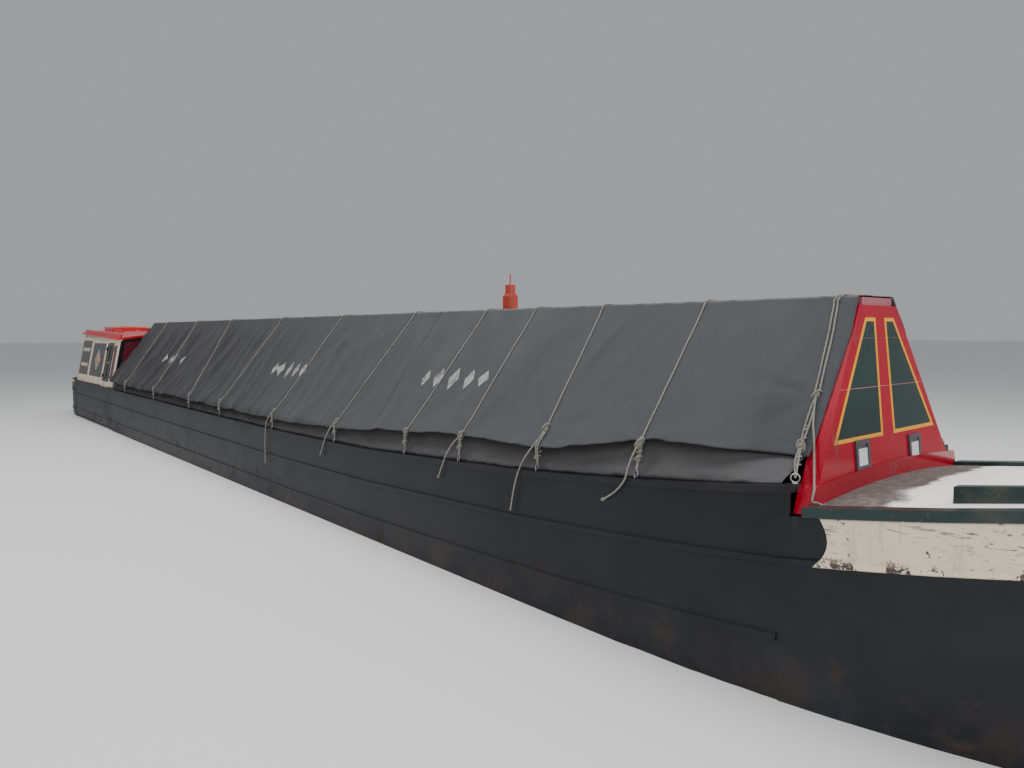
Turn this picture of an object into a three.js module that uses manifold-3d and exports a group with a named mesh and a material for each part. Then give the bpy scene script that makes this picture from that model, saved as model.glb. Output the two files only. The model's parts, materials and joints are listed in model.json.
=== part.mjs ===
// A full-length working narrowboat with a clothed-up hold, a back cabin and a counter stern.
// Millimetres. +X runs to the bow, +Y to port and +Z up. The origin is under the middle of the
// flat bottom, so the boat stands on z = 0.

import * as THREE from "three";
import { mergeVertices } from "three/addons/utils/BufferGeometryUtils.js";
import Module from "manifold-3d";

const wasm = await Module();
wasm.setup();

// Driving dimensions
const LENGTH = 21800;
const BEAM = 2134;
const STEM_X = LENGTH / 2;
const STERN_X = -LENGTH / 2;
const HALF_BEAM = BEAM / 2;
const GAP = 0.3;

const BOTTOM_T = 20;
const PLATE_T = 12;
const GUNWALE = { width: 120, height: 40 };

// The sheer: the gunwale's top, level amidships and rising to both ends
const SHEER = {
  low: 1352,
  lowX: 1500,
  bowRise: 348,
  bowRun: 6700,
  bowPower: 2.4,
  sternRise: 55,
  sternRun: 12400,
};

const CRATCH_X = 8200;
const FORE_BULKHEAD_X = 8060;
const BEAM_REAR_X = 8132;
const BOW_STEP = 105;
const BOW_BAND_H = 50;
const BOW_PANEL_H = 300;

const CABIN = {
  front: -6000,
  rear: -9380,
  wall: 45,
  frontEave: 2315,
  rearEave: 2430,
  footHalf: 1015,
  footZ: 1380,
  tumblehome: 0.2,
  camber: 75,
  roofT: 35,
  roofHalf: 850,
  roofRear: -9405,
};
const COUNTER = {
  start: CABIN.rear - GAP,
  bottom: 610,
  deck: 1362,
  rimTop: 1397,
  rimWidth: 55,
  guardOut: 12,
  fullness: 2.4,
};
const SWIM = { start: -6000, post: -9150, postHalf: 45 };
const UXTER_T = 12;

const RIDGE = { top: 2643, plankHalf: 190, plankT: 45 };
const CLOTH_T = 10;
const MAST_X = 4800;
const STAND_X = [2000, -2000];

// The sheer line's height at x
function sheer(x) {
  if (x > SHEER.lowX) {
    const u = (x - SHEER.lowX) / SHEER.bowRun;
    return SHEER.low + SHEER.bowRise * Math.pow(u, SHEER.bowPower);
  }
  const u = (SHEER.lowX - x) / SHEER.sternRun;
  return SHEER.low + SHEER.sternRise * u * u;
}

const bowBand = (x) => sheer(x) - BOW_STEP;

// Half-breadths of the hull's outside, at the bottom and at the gunwale
const BOW_PLAN = {
  gunwale: { start: 6900, end: STEM_X - 25, full: HALF_BEAM - 12, tip: 42, power: 2.8 },
  bottom: { start: 6500, end: STEM_X - 480, full: 1030, tip: 36, power: 2.2 },
};

function bowHalf(line, x) {
  if (x <= line.start) return line.full;
  const u = Math.min((x - line.start) / (line.end - line.start), 1);
  return line.tip + (line.full - line.tip) * (1 - Math.pow(u, line.power));
}

function bottomHalf(x) {
  if (x < SWIM.start) {
    const u = Math.min((SWIM.start - x) / (SWIM.start - SWIM.post), 1);
    const fall = (1 + Math.cos(Math.PI * Math.pow(u, 0.9))) / 2;
    return SWIM.postHalf + (BOW_PLAN.bottom.full - SWIM.postHalf) * fall;
  }
  return bowHalf(BOW_PLAN.bottom, x);
}

const gunwaleHalf = (x) => bowHalf(BOW_PLAN.gunwale, x);

// The hull's outside half-breadth at height z: it flares quickly from the bottom
function sideHalf(x, z) {
  const u = Math.min(Math.max(z / bowBand(x), 0), 1);
  const low = bottomHalf(Math.max(x, SWIM.start));
  return low + (gunwaleHalf(x) - low) * Math.pow(u, 0.65);
}

// Colours
const paint = (color, roughness = 0.6, metalness = 0.0) =>
  new THREE.MeshStandardMaterial({ color, roughness, metalness });
const MATERIAL = {
  hull: paint(0x2d2a30, 0.75),
  red: paint(0xc22336, 0.45),
  roofRed: paint(0xcc1f2b, 0.5),
  maroon: paint(0x5e1c26, 0.55),
  green: paint(0x1f3c3a, 0.5),
  cream: paint(0xc8bea5, 0.7),
  deck: paint(0xb9aeb0, 0.85),
  panel: paint(0x3c3c3e, 0.55),
  cloth: paint(0x4b4d55, 0.95),
  sideCloth: paint(0x5d5852, 0.95),
  wood: paint(0x9b6a63, 0.8),
  plank: paint(0x8a7458, 0.85),
  steel: paint(0x4a4a4c, 0.5, 0.7),
  brass: paint(0xb08a3c, 0.35, 0.9),
  bronze: paint(0x8c6f3f, 0.4, 0.9),
  engine: paint(0x35503f, 0.6),
  rope: paint(0x9c9684, 0.95),
};

// Boolean helpers
function solid(geometry) {
  const plain = geometry.clone();
  plain.deleteAttribute("normal");
  plain.deleteAttribute("uv");
  const merged = mergeVertices(plain, 1e-3);
  return new wasm.Manifold(
    new wasm.Mesh({
      numProp: 3,
      vertProperties: merged.attributes.position.array,
      triVerts: new Uint32Array(merged.index.array),
    }),
  );
}

function geometryOf(manifold) {
  const mesh = manifold.getMesh();
  const geometry = new THREE.BufferGeometry();
  const positions = new THREE.BufferAttribute(new Float32Array(mesh.vertProperties), 3);
  geometry.setAttribute("position", positions);
  geometry.setIndex(new THREE.BufferAttribute(new Uint32Array(mesh.triVerts), 1));
  geometry.computeVertexNormals();
  return geometry;
}

const cut = (whole, ...tools) =>
  geometryOf(tools.reduce((left, tool) => left.subtract(solid(tool)), solid(whole)));
const join = (...pieces) =>
  geometryOf(pieces.map(solid).reduce((sum, piece) => sum.add(piece)));

// A box between two corners
function box(x0, x1, y0, y1, z0, z1) {
  const geometry = new THREE.BoxGeometry(x1 - x0, y1 - y0, z1 - z0);
  return geometry.translate((x0 + x1) / 2, (y0 + y1) / 2, (z0 + z1) / 2);
}

function cylinder(radius, length, axis, centre, sides = 20) {
  const geometry = new THREE.CylinderGeometry(radius, radius, length, sides);
  if (axis === "x") geometry.rotateZ(Math.PI / 2);
  if (axis === "z") geometry.rotateX(Math.PI / 2);
  return geometry.translate(...centre);
}

// A solid through closed [y, z] outlines at stations along x, its ends capped.
// Outlines run anticlockwise seen from the bow.
function loft(stations, outline) {
  const rings = stations.map((x) => outline(x).map(([y, z]) => [x, y, z]));
  const count = rings[0].length;
  const corners = rings.flat(2);
  const faces = [];
  for (let i = 0; i + 1 < rings.length; i++) {
    for (let j = 0; j < count; j++) {
      const k = (j + 1) % count;
      const a = i * count + j;
      const b = i * count + k;
      faces.push(a, b, a + count, b, b + count, a + count);
    }
  }
  const capOf = (ring) =>
    THREE.ShapeUtils.triangulateShape(
      ring.map(([, y, z]) => new THREE.Vector2(y, z)),
      [],
    );
  const last = (rings.length - 1) * count;
  for (const [a, b, c] of capOf(rings[0])) faces.push(a, c, b);
  for (const [a, b, c] of capOf(rings[rings.length - 1])) {
    faces.push(last + a, last + b, last + c);
  }
  const geometry = new THREE.BufferGeometry();
  geometry.setAttribute("position", new THREE.Float32BufferAttribute(corners, 3));
  geometry.setIndex(faces);
  return geometry;
}

// The starboard twin of a port solid, with its faces turned back outward
function mirrored(geometry) {
  const twin = geometry.index ? geometry.toNonIndexed() : geometry.clone();
  const positions = twin.attributes.position;
  for (let i = 0; i < positions.count; i += 3) {
    const [a, b] = [i, i + 1].map((j) => new THREE.Vector3().fromBufferAttribute(positions, j));
    positions.setXYZ(i, b.x, b.y, b.z);
    positions.setXYZ(i + 1, a.x, a.y, a.z);
  }
  return twin.scale(1, -1, 1);
}

// Evenly spaced stations from a to b
const spread = (a, b, steps) =>
  Array.from({ length: steps + 1 }, (_, i) => a + ((b - a) * i) / steps);

// An outline drawn in [y, z] and pushed along x from x0 to x1
function slab(points, x0, x1, holes = []) {
  const shape = new THREE.Shape(points.map(([y, z]) => new THREE.Vector2(y, z)));
  for (const hole of holes) {
    shape.holes.push(new THREE.Path(hole.map(([y, z]) => new THREE.Vector2(y, z))));
  }
  const geometry = new THREE.ExtrudeGeometry(shape, {
    depth: x1 - x0,
    bevelEnabled: false,
  });
  // Shape axes x, y, z become the boat's y, z, x
  const turn = new THREE.Matrix4().set(0, 0, 1, x0, 1, 0, 0, 0, 0, 1, 0, 0, 0, 0, 0, 1);
  return geometry.applyMatrix4(turn);
}

// An outline drawn in [x, z] and pushed along y from y0 to y1
function sidePlate(points, y0, y1, holes = []) {
  const shape = new THREE.Shape(points.map(([x, z]) => new THREE.Vector2(x, z)));
  for (const hole of holes) {
    shape.holes.push(new THREE.Path(hole.map(([x, z]) => new THREE.Vector2(x, z))));
  }
  const geometry = new THREE.ExtrudeGeometry(shape, {
    depth: y1 - y0,
    bevelEnabled: false,
  });
  const turn = new THREE.Matrix4().set(1, 0, 0, 0, 0, 0, -1, y1, 0, 1, 0, 0, 0, 0, 0, 1);
  return geometry.applyMatrix4(turn);
}

// An outline drawn in [x, y] and pushed up z from z0 to z1
function deckPlate(points, z0, z1, holes = []) {
  const shape = new THREE.Shape(points.map(([x, y]) => new THREE.Vector2(x, y)));
  for (const hole of holes) {
    shape.holes.push(new THREE.Path(hole.map(([x, y]) => new THREE.Vector2(x, y))));
  }
  const geometry = new THREE.ExtrudeGeometry(shape, {
    depth: z1 - z0,
    bevelEnabled: false,
  });
  return geometry.translate(0, 0, z0);
}

const ringPoints = (cx, cy, radius, sides = 20) =>
  Array.from({ length: sides }, (_, i) => {
    const angle = (2 * Math.PI * i) / sides;
    return [cx + radius * Math.cos(angle), cy + radius * Math.sin(angle)];
  });

const boat = new THREE.Group();
function add(name, geometry, material) {
  const mesh = new THREE.Mesh(geometry, material);
  mesh.name = name;
  boat.add(mesh);
  return mesh;
}

// Adds a port piece and its starboard twin
function addTwins(name, port, material) {
  add(name + "_port", port, material);
  add(name + "_starboard", mirrored(port), material);
}
const addPair = (name, stations, outline, material) =>
  addTwins(name, loft(stations, outline), material);

// Bottom plate
const BOTTOM_STATIONS = [
  SWIM.post,
  ...spread(SWIM.post + 350, SWIM.start, 8),
  ...spread(BOW_PLAN.bottom.start, STEM_X - 700, 8),
];
add(
  "bottom_plate",
  loft(BOTTOM_STATIONS, (x) => {
    const half = bottomHalf(x) + (x > SWIM.start ? 0 : 4);
    return [
      [-half, 0],
      [half, 0],
      [half, BOTTOM_T],
      [-half, BOTTOM_T],
    ];
  }),
  MATERIAL.hull,
);

// Hull sides along the hold
const HOLD_STATIONS = [
  CABIN.front,
  ...spread(-4000, 6000, 5),
  ...spread(6500, 7540, 2),
  7760,
  7980,
  FORE_BULKHEAD_X,
];
const QUARTER_STATIONS = spread(COUNTER.start + GAP, CABIN.front - GAP, 3);

// Guards: half-round rubbing irons along the outside, given by their share of the side's height
const GUARDS = [
  { share: 0.52, thick: 14, tall: 42 },
  { share: 0.7585, thick: 15, tall: 45 },
];
function guardPoints(x, guard) {
  const z = guard.share * sheer(x);
  return [
    [sideHalf(x, z), z],
    [sideHalf(x, z) + guard.thick, z + 6],
    [sideHalf(x, z) + guard.thick, z + guard.tall - 6],
    [sideHalf(x, z + guard.tall), z + guard.tall],
  ];
}
function platingOutline(bottom, top) {
  return (x) => {
    const levels = spread(bottom(x), top(x), 3);
    const outer = [
      [sideHalf(x, levels[0]), levels[0]],
      ...GUARDS.flatMap((guard) => guardPoints(x, guard)),
      [sideHalf(x, levels[3]), levels[3]],
    ];
    const inner = levels.map((z) => [sideHalf(x, z) - PLATE_T, z]).reverse();
    return [...outer, ...inner];
  };
}
const underGunwale = (x) => sheer(x) - GUNWALE.height - GAP;
const foreTop = (x) => bowBand(x) - BOW_BAND_H - GAP;
const shoulder = loft([FORE_BULKHEAD_X - 5, BEAM_REAR_X - 2 * GAP], (x) => {
  const [low, high] = [foreTop(x) + 2 * GAP, underGunwale(x)];
  return [
    [sideHalf(x, low) - PLATE_T, low],
    [sideHalf(x, low), low],
    [sideHalf(x, high), high],
    [sideHalf(x, high) - PLATE_T, high],
  ];
});
const holdSide = loft(HOLD_STATIONS, platingOutline(() => BOTTOM_T + GAP, underGunwale));
addTwins("hold_side", join(holdSide, shoulder), MATERIAL.hull);

// Hull sides beside the cabin, above the swim
addPair(
  "quarter",
  QUARTER_STATIONS,
  platingOutline(() => COUNTER.bottom + UXTER_T + GAP, underGunwale),
  MATERIAL.hull,
);

// Gunwales, from the counter to the cratch
addPair(
  "gunwale",
  [...QUARTER_STATIONS, ...HOLD_STATIONS, BEAM_REAR_X - GAP],
  (x) => {
    const outer = gunwaleHalf(x) + 12;
    const top = sheer(x);
    return [
      [outer - GUNWALE.width, top - GUNWALE.height],
      [outer, top - GUNWALE.height],
      [outer, top],
      [outer - GUNWALE.width, top],
    ];
  },
  MATERIAL.hull,
);

// Fore end: the decked bow, closed by its deck, with the stem let into its front
function foreFoot(x) {
  const u = Math.max((x - (STEM_X - 800)) / 800, 0);
  return BOTTOM_T + GAP + 1150 * Math.pow(u, 2.6);
}
const FORE_STATIONS = [
  FORE_BULKHEAD_X + GAP,
  ...spread(CRATCH_X + 150, STEM_X - 900, 4),
  ...spread(STEM_X - 650, STEM_X - 40, 4),
];
function foreOutline(x) {
  const foot = foreFoot(x);
  const levels = spread(foot, foreTop(x), 5);
  const port = levels.map((z) => [sideHalf(x, z), z]);
  const starboard = levels.map((z) => [-sideHalf(x, z), z]).reverse();
  return [...port, ...starboard];
}
const STEM_HALF = 30;
function stemProfile(back, front) {
  const levels = spread(0, 1, 8);
  const top = bowBand(STEM_X) + 55;
  const line = (inset) =>
    levels.map((u) => {
      const z = BOTTOM_T + GAP + u * (top - BOTTOM_T);
      const rake = 560 * Math.pow(1 - u, 2.3);
      return [STEM_X - rake - inset, z];
    });
  return [...line(back), ...line(front).reverse()];
}
const stemCutter = sidePlate(
  stemProfile(95 + GAP, -80).reverse(),
  -STEM_HALF - GAP,
  STEM_HALF + GAP,
);
add("stem_post", sidePlate(stemProfile(95, 0).reverse(), -STEM_HALF, STEM_HALF), MATERIAL.hull);
const STRAKE = { tall: 45, thick: 15 };
const strake = loft(FORE_STATIONS, (x) => {
  const z = bowBand(x) - BOW_PANEL_H;
  const inner = sideHalf(x, z) - 25;
  const outer = sideHalf(x, z) + STRAKE.thick;
  return [
    [inner, z],
    [outer, z + 8],
    [outer, z + STRAKE.tall - 8],
    [inner, z + STRAKE.tall],
  ];
});
const foreBody = join(loft(FORE_STATIONS, foreOutline), strake, mirrored(strake));
add("fore_end", cut(foreBody, stemCutter), MATERIAL.hull);

// Green gunwale bands and rubbing strakes round the fore end
const BAND_STATIONS = [CRATCH_X + GAP, ...FORE_STATIONS.slice(1)];
const BAND_W = 90;
addPair(
  "bow_band",
  BAND_STATIONS,
  (x) => {
    const outer = gunwaleHalf(x) + 14;
    const inner = Math.max(outer - BAND_W, STEM_HALF + 1);
    const top = bowBand(x);
    return [
      [inner, top - BOW_BAND_H],
      [outer, top - BOW_BAND_H],
      [outer, top],
      [inner, top],
    ];
  },
  MATERIAL.green,
);
// Foredeck: cambered planking between the bands
const DECK_T = 26;
const DECK_CAMBER = 55;
const DECK_STATIONS = [CRATCH_X + GAP, ...FORE_STATIONS.slice(1, -1)];
function arc(half, edge, rise, steps) {
  return spread(-half, half, steps).map((y) => [y, edge + rise * (1 - (y / half) ** 2)]);
}
const deck = loft(DECK_STATIONS, (x) => {
  const half = gunwaleHalf(x) + 14 - BAND_W - 1;
  const edge = bowBand(x) - BOW_BAND_H + DECK_T;
  const rise = (DECK_CAMBER * half) / HALF_BEAM;
  const base = edge - DECK_T;
  return [[-half, base], [half, base], ...arc(half, edge, rise, 8).reverse()];
});
add("foredeck", deck, MATERIAL.deck);
const overDeck = deck.clone().translate(0, 0, GAP);

// Raised cants along the foredeck's edges, taller at their after ends
const CANT = { start: 8750, end: 10250, inset: 250, width: 60, aftH: 75, foreH: 42 };
const deckEdge = (x) => bowBand(x) - BOW_BAND_H + DECK_T;
function deckTop(x, y) {
  const half = gunwaleHalf(x) + 14 - BAND_W - 1;
  return deckEdge(x) + ((DECK_CAMBER * half) / HALF_BEAM) * (1 - (y / half) ** 2);
}
const cant = loft(spread(CANT.start, CANT.end, 5), (x) => {
  const u = (x - CANT.start) / (CANT.end - CANT.start);
  const inner = Math.max(gunwaleHalf(x) - CANT.inset - CANT.width, 60);
  const base = deckTop(x, inner) - 15;
  const top = base + 15 + CANT.aftH + (CANT.foreH - CANT.aftH) * u;
  return [
    [inner, base],
    [inner + CANT.width, base],
    [inner + CANT.width, top],
    [inner, top],
  ];
});
addTwins("deck_cant", cut(cant, overDeck), MATERIAL.green);

// Tee stud on the foredeck
const STUD_X = 10050;
const STUD = { postR: 32, barR: 24, barLength: 230, footR: 62, barZ: 150, top: 190 };
const studZ = deckTop(STUD_X, 0);
const stud = join(
  cylinder(STUD.postR, STUD.top, "z", [STUD_X, 0, studZ + STUD.top / 2], 16),
  cylinder(STUD.barR, STUD.barLength, "y", [STUD_X, 0, studZ + STUD.barZ], 12),
  cylinder(STUD.footR, 40, "z", [STUD_X, 0, studZ], 16),
);
add("tee_stud", cut(stud, overDeck, deck.clone().translate(0, 0, -20)), MATERIAL.hull);

// Bulkheads that close the hold
function hullSection(x, margin, bottom) {
  const levels = spread(bottom, underGunwale(x) - 3, 3);
  const half = (z) => sideHalf(x, z) - PLATE_T - margin;
  return [
    ...levels.map((z) => [half(z), z]),
    ...levels.map((z) => [-half(z), z]).reverse(),
  ];
}
const BULKHEAD_T = 12;
add(
  "fore_bulkhead",
  slab(
    hullSection(FORE_BULKHEAD_X, 3, BOTTOM_T + GAP),
    FORE_BULKHEAD_X - BULKHEAD_T,
    FORE_BULKHEAD_X - GAP,
  ),
  MATERIAL.hull,
);

// Deck beam: the cambered red board across the rear of the foredeck
const BEAM_BOARD = { half: 935, lowHalf: 978, endTop: 1668, endLow: 1548, crown: 42, lowCrown: 40 };
const deckBeam = slab(
  [
    ...arc(BEAM_BOARD.lowHalf, BEAM_BOARD.endLow, BEAM_BOARD.lowCrown, 10),
    ...arc(BEAM_BOARD.half, BEAM_BOARD.endTop, BEAM_BOARD.crown, 10).reverse(),
  ],
  BEAM_REAR_X,
  CRATCH_X - GAP,
);
add("deck_beam", deckBeam, MATERIAL.red);

// Cratch: the tall tapering board that stands on the deck beam and leans a little aft
const CRATCH = {
  foot: 845,
  head: 240,
  top: RIDGE.top - RIDGE.plankT - GAP,
  thick: 95,
  lean: 0.105,
};
const CRATCH_FOOT_Z = BEAM_BOARD.endTop;
function leaning(geometry, z0 = CRATCH_FOOT_Z) {
  const shear = new THREE.Matrix4().set(
    1, 0, -CRATCH.lean, CRATCH.lean * z0,
    0, 1, 0, 0,
    0, 0, 1, 0,
    0, 0, 0, 1,
  );
  return geometry.applyMatrix4(shear);
}
const cratchOutline = [
  [-CRATCH.foot, CRATCH_FOOT_Z - 10],
  [CRATCH.foot, CRATCH_FOOT_Z - 10],
  [CRATCH.head, CRATCH.top],
  [-CRATCH.head, CRATCH.top],
];
const cratch = leaning(slab(cratchOutline, CRATCH_X - 12 - CRATCH.thick, CRATCH_X - 12));
add("cratch_board", cut(cratch, deckBeam.clone().translate(0, 0, GAP)), MATERIAL.red);

// Top planks along the ridge, end to end over the mast and stands
const CRATCH_HEAD_X = CRATCH_X - 12 - CRATCH.lean * (RIDGE.top - CRATCH_FOOT_Z);
const MAST = { half: 49, top: 2775, neckHalf: 33, neckTop: 2880, pinTop: 2975, pinR: 6 };
const PLANK_SPANS = [
  { name: "fore", from: MAST_X + MAST.half, to: CRATCH_HEAD_X - 4 },
  { name: "mid", from: STAND_X[1], to: MAST_X - MAST.half },
  { name: "aft", from: CABIN.front, to: STAND_X[1] },
];
for (const span of PLANK_SPANS) {
  const plank = box(
    span.from + GAP,
    span.to - GAP,
    -RIDGE.plankHalf,
    RIDGE.plankHalf,
    RIDGE.top - RIDGE.plankT,
    RIDGE.top,
  );
  add("top_plank_" + span.name, plank, MATERIAL.wood);
}

// Cross beams in the hold, with the stands and the mast that carry the planks
const CROSS = { height: 110, width: 110, drop: 150 };
const crossTop = (x) => sheer(x) - CROSS.drop;
function crossBeam(x) {
  const half = sideHalf(x, crossTop(x) - CROSS.height) - PLATE_T - 1.2;
  return box(
    x - CROSS.width / 2,
    x + CROSS.width / 2,
    -half,
    half,
    crossTop(x) - CROSS.height,
    crossTop(x) - GAP,
  );
}
add("mast_beam", crossBeam(MAST_X), MATERIAL.plank);
STAND_X.forEach((x, i) => {
  const top = RIDGE.top - RIDGE.plankT - GAP;
  const stand = slab(
    [
      [-130, crossTop(x) - 20],
      [130, crossTop(x) - 20],
      [170, top],
      [-170, top],
    ],
    x - 40,
    x + 40,
  );
  add("hold_stand_" + (i + 1), join(crossBeam(x), stand), MATERIAL.wood);
});

// Mast: a square box mast, with its narrower head slid down inside
const MAST_SLOT = 8;
add(
  "mast",
  cut(
    box(
      MAST_X - MAST.half,
      MAST_X + MAST.half,
      -MAST.half,
      MAST.half,
      crossTop(MAST_X),
      MAST.top,
    ),
    box(
      MAST_X - MAST.neckHalf - MAST_SLOT,
      MAST_X + MAST.neckHalf + MAST_SLOT,
      -MAST.neckHalf - MAST_SLOT,
      MAST.neckHalf + MAST_SLOT,
      crossTop(MAST_X) + 60,
      MAST.top + 10,
    ),
  ),
  MATERIAL.red,
);
const NECK_FOOT = crossTop(MAST_X) + 60 + GAP;
add(
  "mast_head",
  join(
    box(
      MAST_X - MAST.neckHalf,
      MAST_X + MAST.neckHalf,
      -MAST.neckHalf,
      MAST.neckHalf,
      NECK_FOOT,
      MAST.neckTop,
    ),
    cylinder(
      MAST.pinR,
      MAST.pinTop - MAST.neckTop + 20,
      "z",
      [MAST_X, 0, (MAST.pinTop + MAST.neckTop - 20) / 2],
      10,
    ),
  ),
  MATERIAL.red,
);

// Cloths: side cloths stand up from the gunwales, and the top cloths hang over the ridge and
// down past them
const HEM_RISE = 160;
const clothHem = (x) => sheer(x) + HEM_RISE;
const CLOTH_ENDS = [8100, 4000, -2000, CABIN.front + 14];
const CLOTH_LAP_GAP = 4;
// At its fore end the cloth draws in to wrap the cratch's sides
const WRAP = { start: 7540, end: 7980, hem: 1800, clear: 15, lean: 320, rise: 165, sideEnd: 8070 };
const WRAP_STATIONS = spread(WRAP.start, WRAP.end, 4);
const clothStations = (start, end) => {
  const open = HOLD_STATIONS.filter((x) => x < WRAP.start);
  const inside = [...open, ...WRAP_STATIONS].filter((x) => x > start + 10 && x < end - 10);
  return [start, ...inside, end];
};
const cratchHalf = (z) =>
  CRATCH.foot - ((z - CRATCH_FOOT_Z) * (CRATCH.foot - CRATCH.head)) / (CRATCH.top - CRATCH_FOOT_Z);
function wrapped(x, open, drawn) {
  const u = Math.min(Math.max((x - WRAP.start) / (WRAP.end - WRAP.start), 0), 1);
  return open + (drawn - open) * u * u * (3 - 2 * u);
}
const mirroredEnd = (points) => points.map(([y, z]) => [-y, z]).reverse();
const clothRidge = (x) => wrapped(x, RIDGE.plankHalf + 12, cratchHalf(RIDGE.top + CLOTH_T) + WRAP.clear);
const clothHemHalf = (x) => wrapped(x, gunwaleHalf(x) - 20, cratchHalf(WRAP.hem) + WRAP.clear);
const clothHemZ = (x) => wrapped(x, clothHem(x), WRAP.hem);
function topClothOutside(x) {
  const half = [
    [clothHemHalf(x), clothHemZ(x)],
    [clothRidge(x), RIDGE.top + GAP + CLOTH_T],
  ];
  return [...half, ...mirroredEnd(half)];
}
function topClothInside(x) {
  const past = 1.04;
  const [ridge, top] = [clothRidge(x) - 5, RIDGE.top + GAP];
  const half = [
    [ridge + (clothHemHalf(x) - CLOTH_T - 2 - ridge) * past, top + (clothHemZ(x) - top) * past],
    [ridge, top],
  ];
  return [...half, ...mirroredEnd(half)];
}
const MAST_SLIT = MAST.half + 10;
const mastHole = box(
  MAST_X - MAST_SLIT,
  MAST_X + MAST_SLIT,
  -MAST_SLIT,
  MAST_SLIT,
  RIDGE.top - 50,
  RIDGE.top + 50,
);
["fore", "mid", "aft"].forEach((name, i) => {
  const start = CLOTH_ENDS[i + 1] + CLOTH_LAP_GAP;
  const end = CLOTH_ENDS[i];
  const stations = clothStations(start, end);
  const inside = (x) => topClothInside(Math.min(Math.max(x, start), end));
  const hollow = loft([start - 5, ...stations, end + 5], inside);
  const cloth = cut(loft(stations, topClothOutside), hollow);
  add("top_cloth_" + name, name === "fore" ? cut(cloth, mastHole) : cloth, MATERIAL.cloth);
});
addPair(
  "side_cloth",
  clothStations(CLOTH_ENDS[3] + 4, WRAP.sideEnd),
  (x) => {
    const foot = sheer(x) + GAP;
    const outer = gunwaleHalf(x) - 45;
    const rise = wrapped(x, 330, WRAP.rise);
    const lean = wrapped(x, 235, WRAP.lean);
    return [
      [outer - 8, foot],
      [outer, foot],
      [outer - lean, foot + rise],
      [outer - lean - 9, foot + rise],
    ];
  },
  MATERIAL.sideCloth,
);

// Stern below the water: the swim's two sides draw in to the stern post
const swimStations = [SWIM.post, ...spread(SWIM.post + 350, SWIM.start, 8).slice(0, -1), SWIM.start - GAP];
const SHAFT = { z: 330, tubeR: 48, tubeEnd: -9420 };
const swimBody = loft(swimStations, (x) => {
  const half = bottomHalf(x);
  return [
    [-half, BOTTOM_T + GAP],
    [half, BOTTOM_T + GAP],
    [half, COUNTER.bottom - GAP],
    [-half, COUNTER.bottom - GAP],
  ];
});
const sternTube = cylinder(
  SHAFT.tubeR,
  SWIM.post + 40 - SHAFT.tubeEnd,
  "x",
  [(SWIM.post + 40 + SHAFT.tubeEnd) / 2, 0, SHAFT.z],
);
add("swim", join(swimBody, sternTube), MATERIAL.hull);

// The plate over the swim, which is also the cabin's floor
const uxterPlate = loft(QUARTER_STATIONS, (x) => {
  const half = sideHalf(x, COUNTER.bottom);
  return [
    [-half, COUNTER.bottom],
    [half, COUNTER.bottom],
    [half, COUNTER.bottom + UXTER_T],
    [-half, COUNTER.bottom + UXTER_T],
  ];
});
add("uxter_plate", uxterPlate, MATERIAL.hull);

// Counter: the rounded stern, decked over inside a low rim, with two guards round it
const counterRun = COUNTER.start - STERN_X - COUNTER.guardOut;
function counterPlan(outset) {
  const round = (value) => Math.sign(value) * Math.pow(Math.abs(value), 2 / COUNTER.fullness);
  return spread(0, Math.PI, 24).map((angle) => [
    COUNTER.start - (counterRun + outset) * round(Math.sin(angle)),
    (HALF_BEAM - COUNTER.guardOut + outset) * round(Math.cos(angle)),
  ]);
}
const sternRing = (outset, inset, z0, z1) =>
  deckPlate([...counterPlan(outset), ...counterPlan(-inset).reverse()], z0, z1);
const RUDDER = { x: -10150, stockR: 30, trunkR: 34, footZ: 60, headZ: 1420 };
const counterBody = join(
  deckPlate(counterPlan(0), COUNTER.bottom, COUNTER.deck),
  sternRing(0, COUNTER.rimWidth, COUNTER.deck - 20, COUNTER.rimTop),
  sternRing(COUNTER.guardOut, 10, 1150, 1192),
  sternRing(COUNTER.guardOut, 10, 715, 757),
);
const trunk = cylinder(RUDDER.trunkR, 1200, "z", [RUDDER.x, 0, 1000], 24);
add("counter", cut(counterBody, trunk), MATERIAL.hull);

// Skeg, rudder and tiller
const SKEG_END = RUDDER.x - 80;
add("skeg", box(SKEG_END, SWIM.post - GAP, -40, 40, 0, RUDDER.footZ), MATERIAL.hull);
const BLADE = { fore: -9960, aft: -10780, low: 110, high: 570, half: 8 };
add(
  "rudder",
  join(
    cylinder(
      RUDDER.stockR,
      RUDDER.headZ - RUDDER.footZ - GAP,
      "z",
      [RUDDER.x, 0, (RUDDER.headZ + RUDDER.footZ + GAP) / 2],
      24,
    ),
    box(BLADE.aft, BLADE.fore, -BLADE.half, BLADE.half, BLADE.low, BLADE.high),
  ),
  MATERIAL.hull,
);

// A round bar along a path of points
function tube(points, radius, sides, steps) {
  const shape = new THREE.Shape(
    ringPoints(0, 0, radius, sides).map(([x, y]) => new THREE.Vector2(x, y)),
  );
  const path = new THREE.CatmullRomCurve3(points.map((point) => new THREE.Vector3(...point)));
  const geometry = new THREE.ExtrudeGeometry(shape, {
    steps,
    bevelEnabled: false,
    extrudePath: path,
  });
  return geometry;
}
const NECK = [
  [RUDDER.x, 0, RUDDER.headZ + 20],
  [RUDDER.x, 0, 1850],
  [RUDDER.x + 50, 0, 2200],
  [RUDDER.x + 170, 0, 2480],
  [RUDDER.x + 340, 0, 2570],
];
const TILLER_BAR = [
  [RUDDER.x + 320, 0, 2566],
  [RUDDER.x + 500, 0, 2577],
  [RUDDER.x + 700, 0, 2585],
];
add(
  "tiller",
  join(
    cylinder(36, 90, "z", [RUDDER.x, 0, RUDDER.headZ + GAP + 45], 16),
    tube(NECK, 22, 12, 20),
    tube(TILLER_BAR, 16, 12, 6),
  ),
  MATERIAL.red,
);

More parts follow.
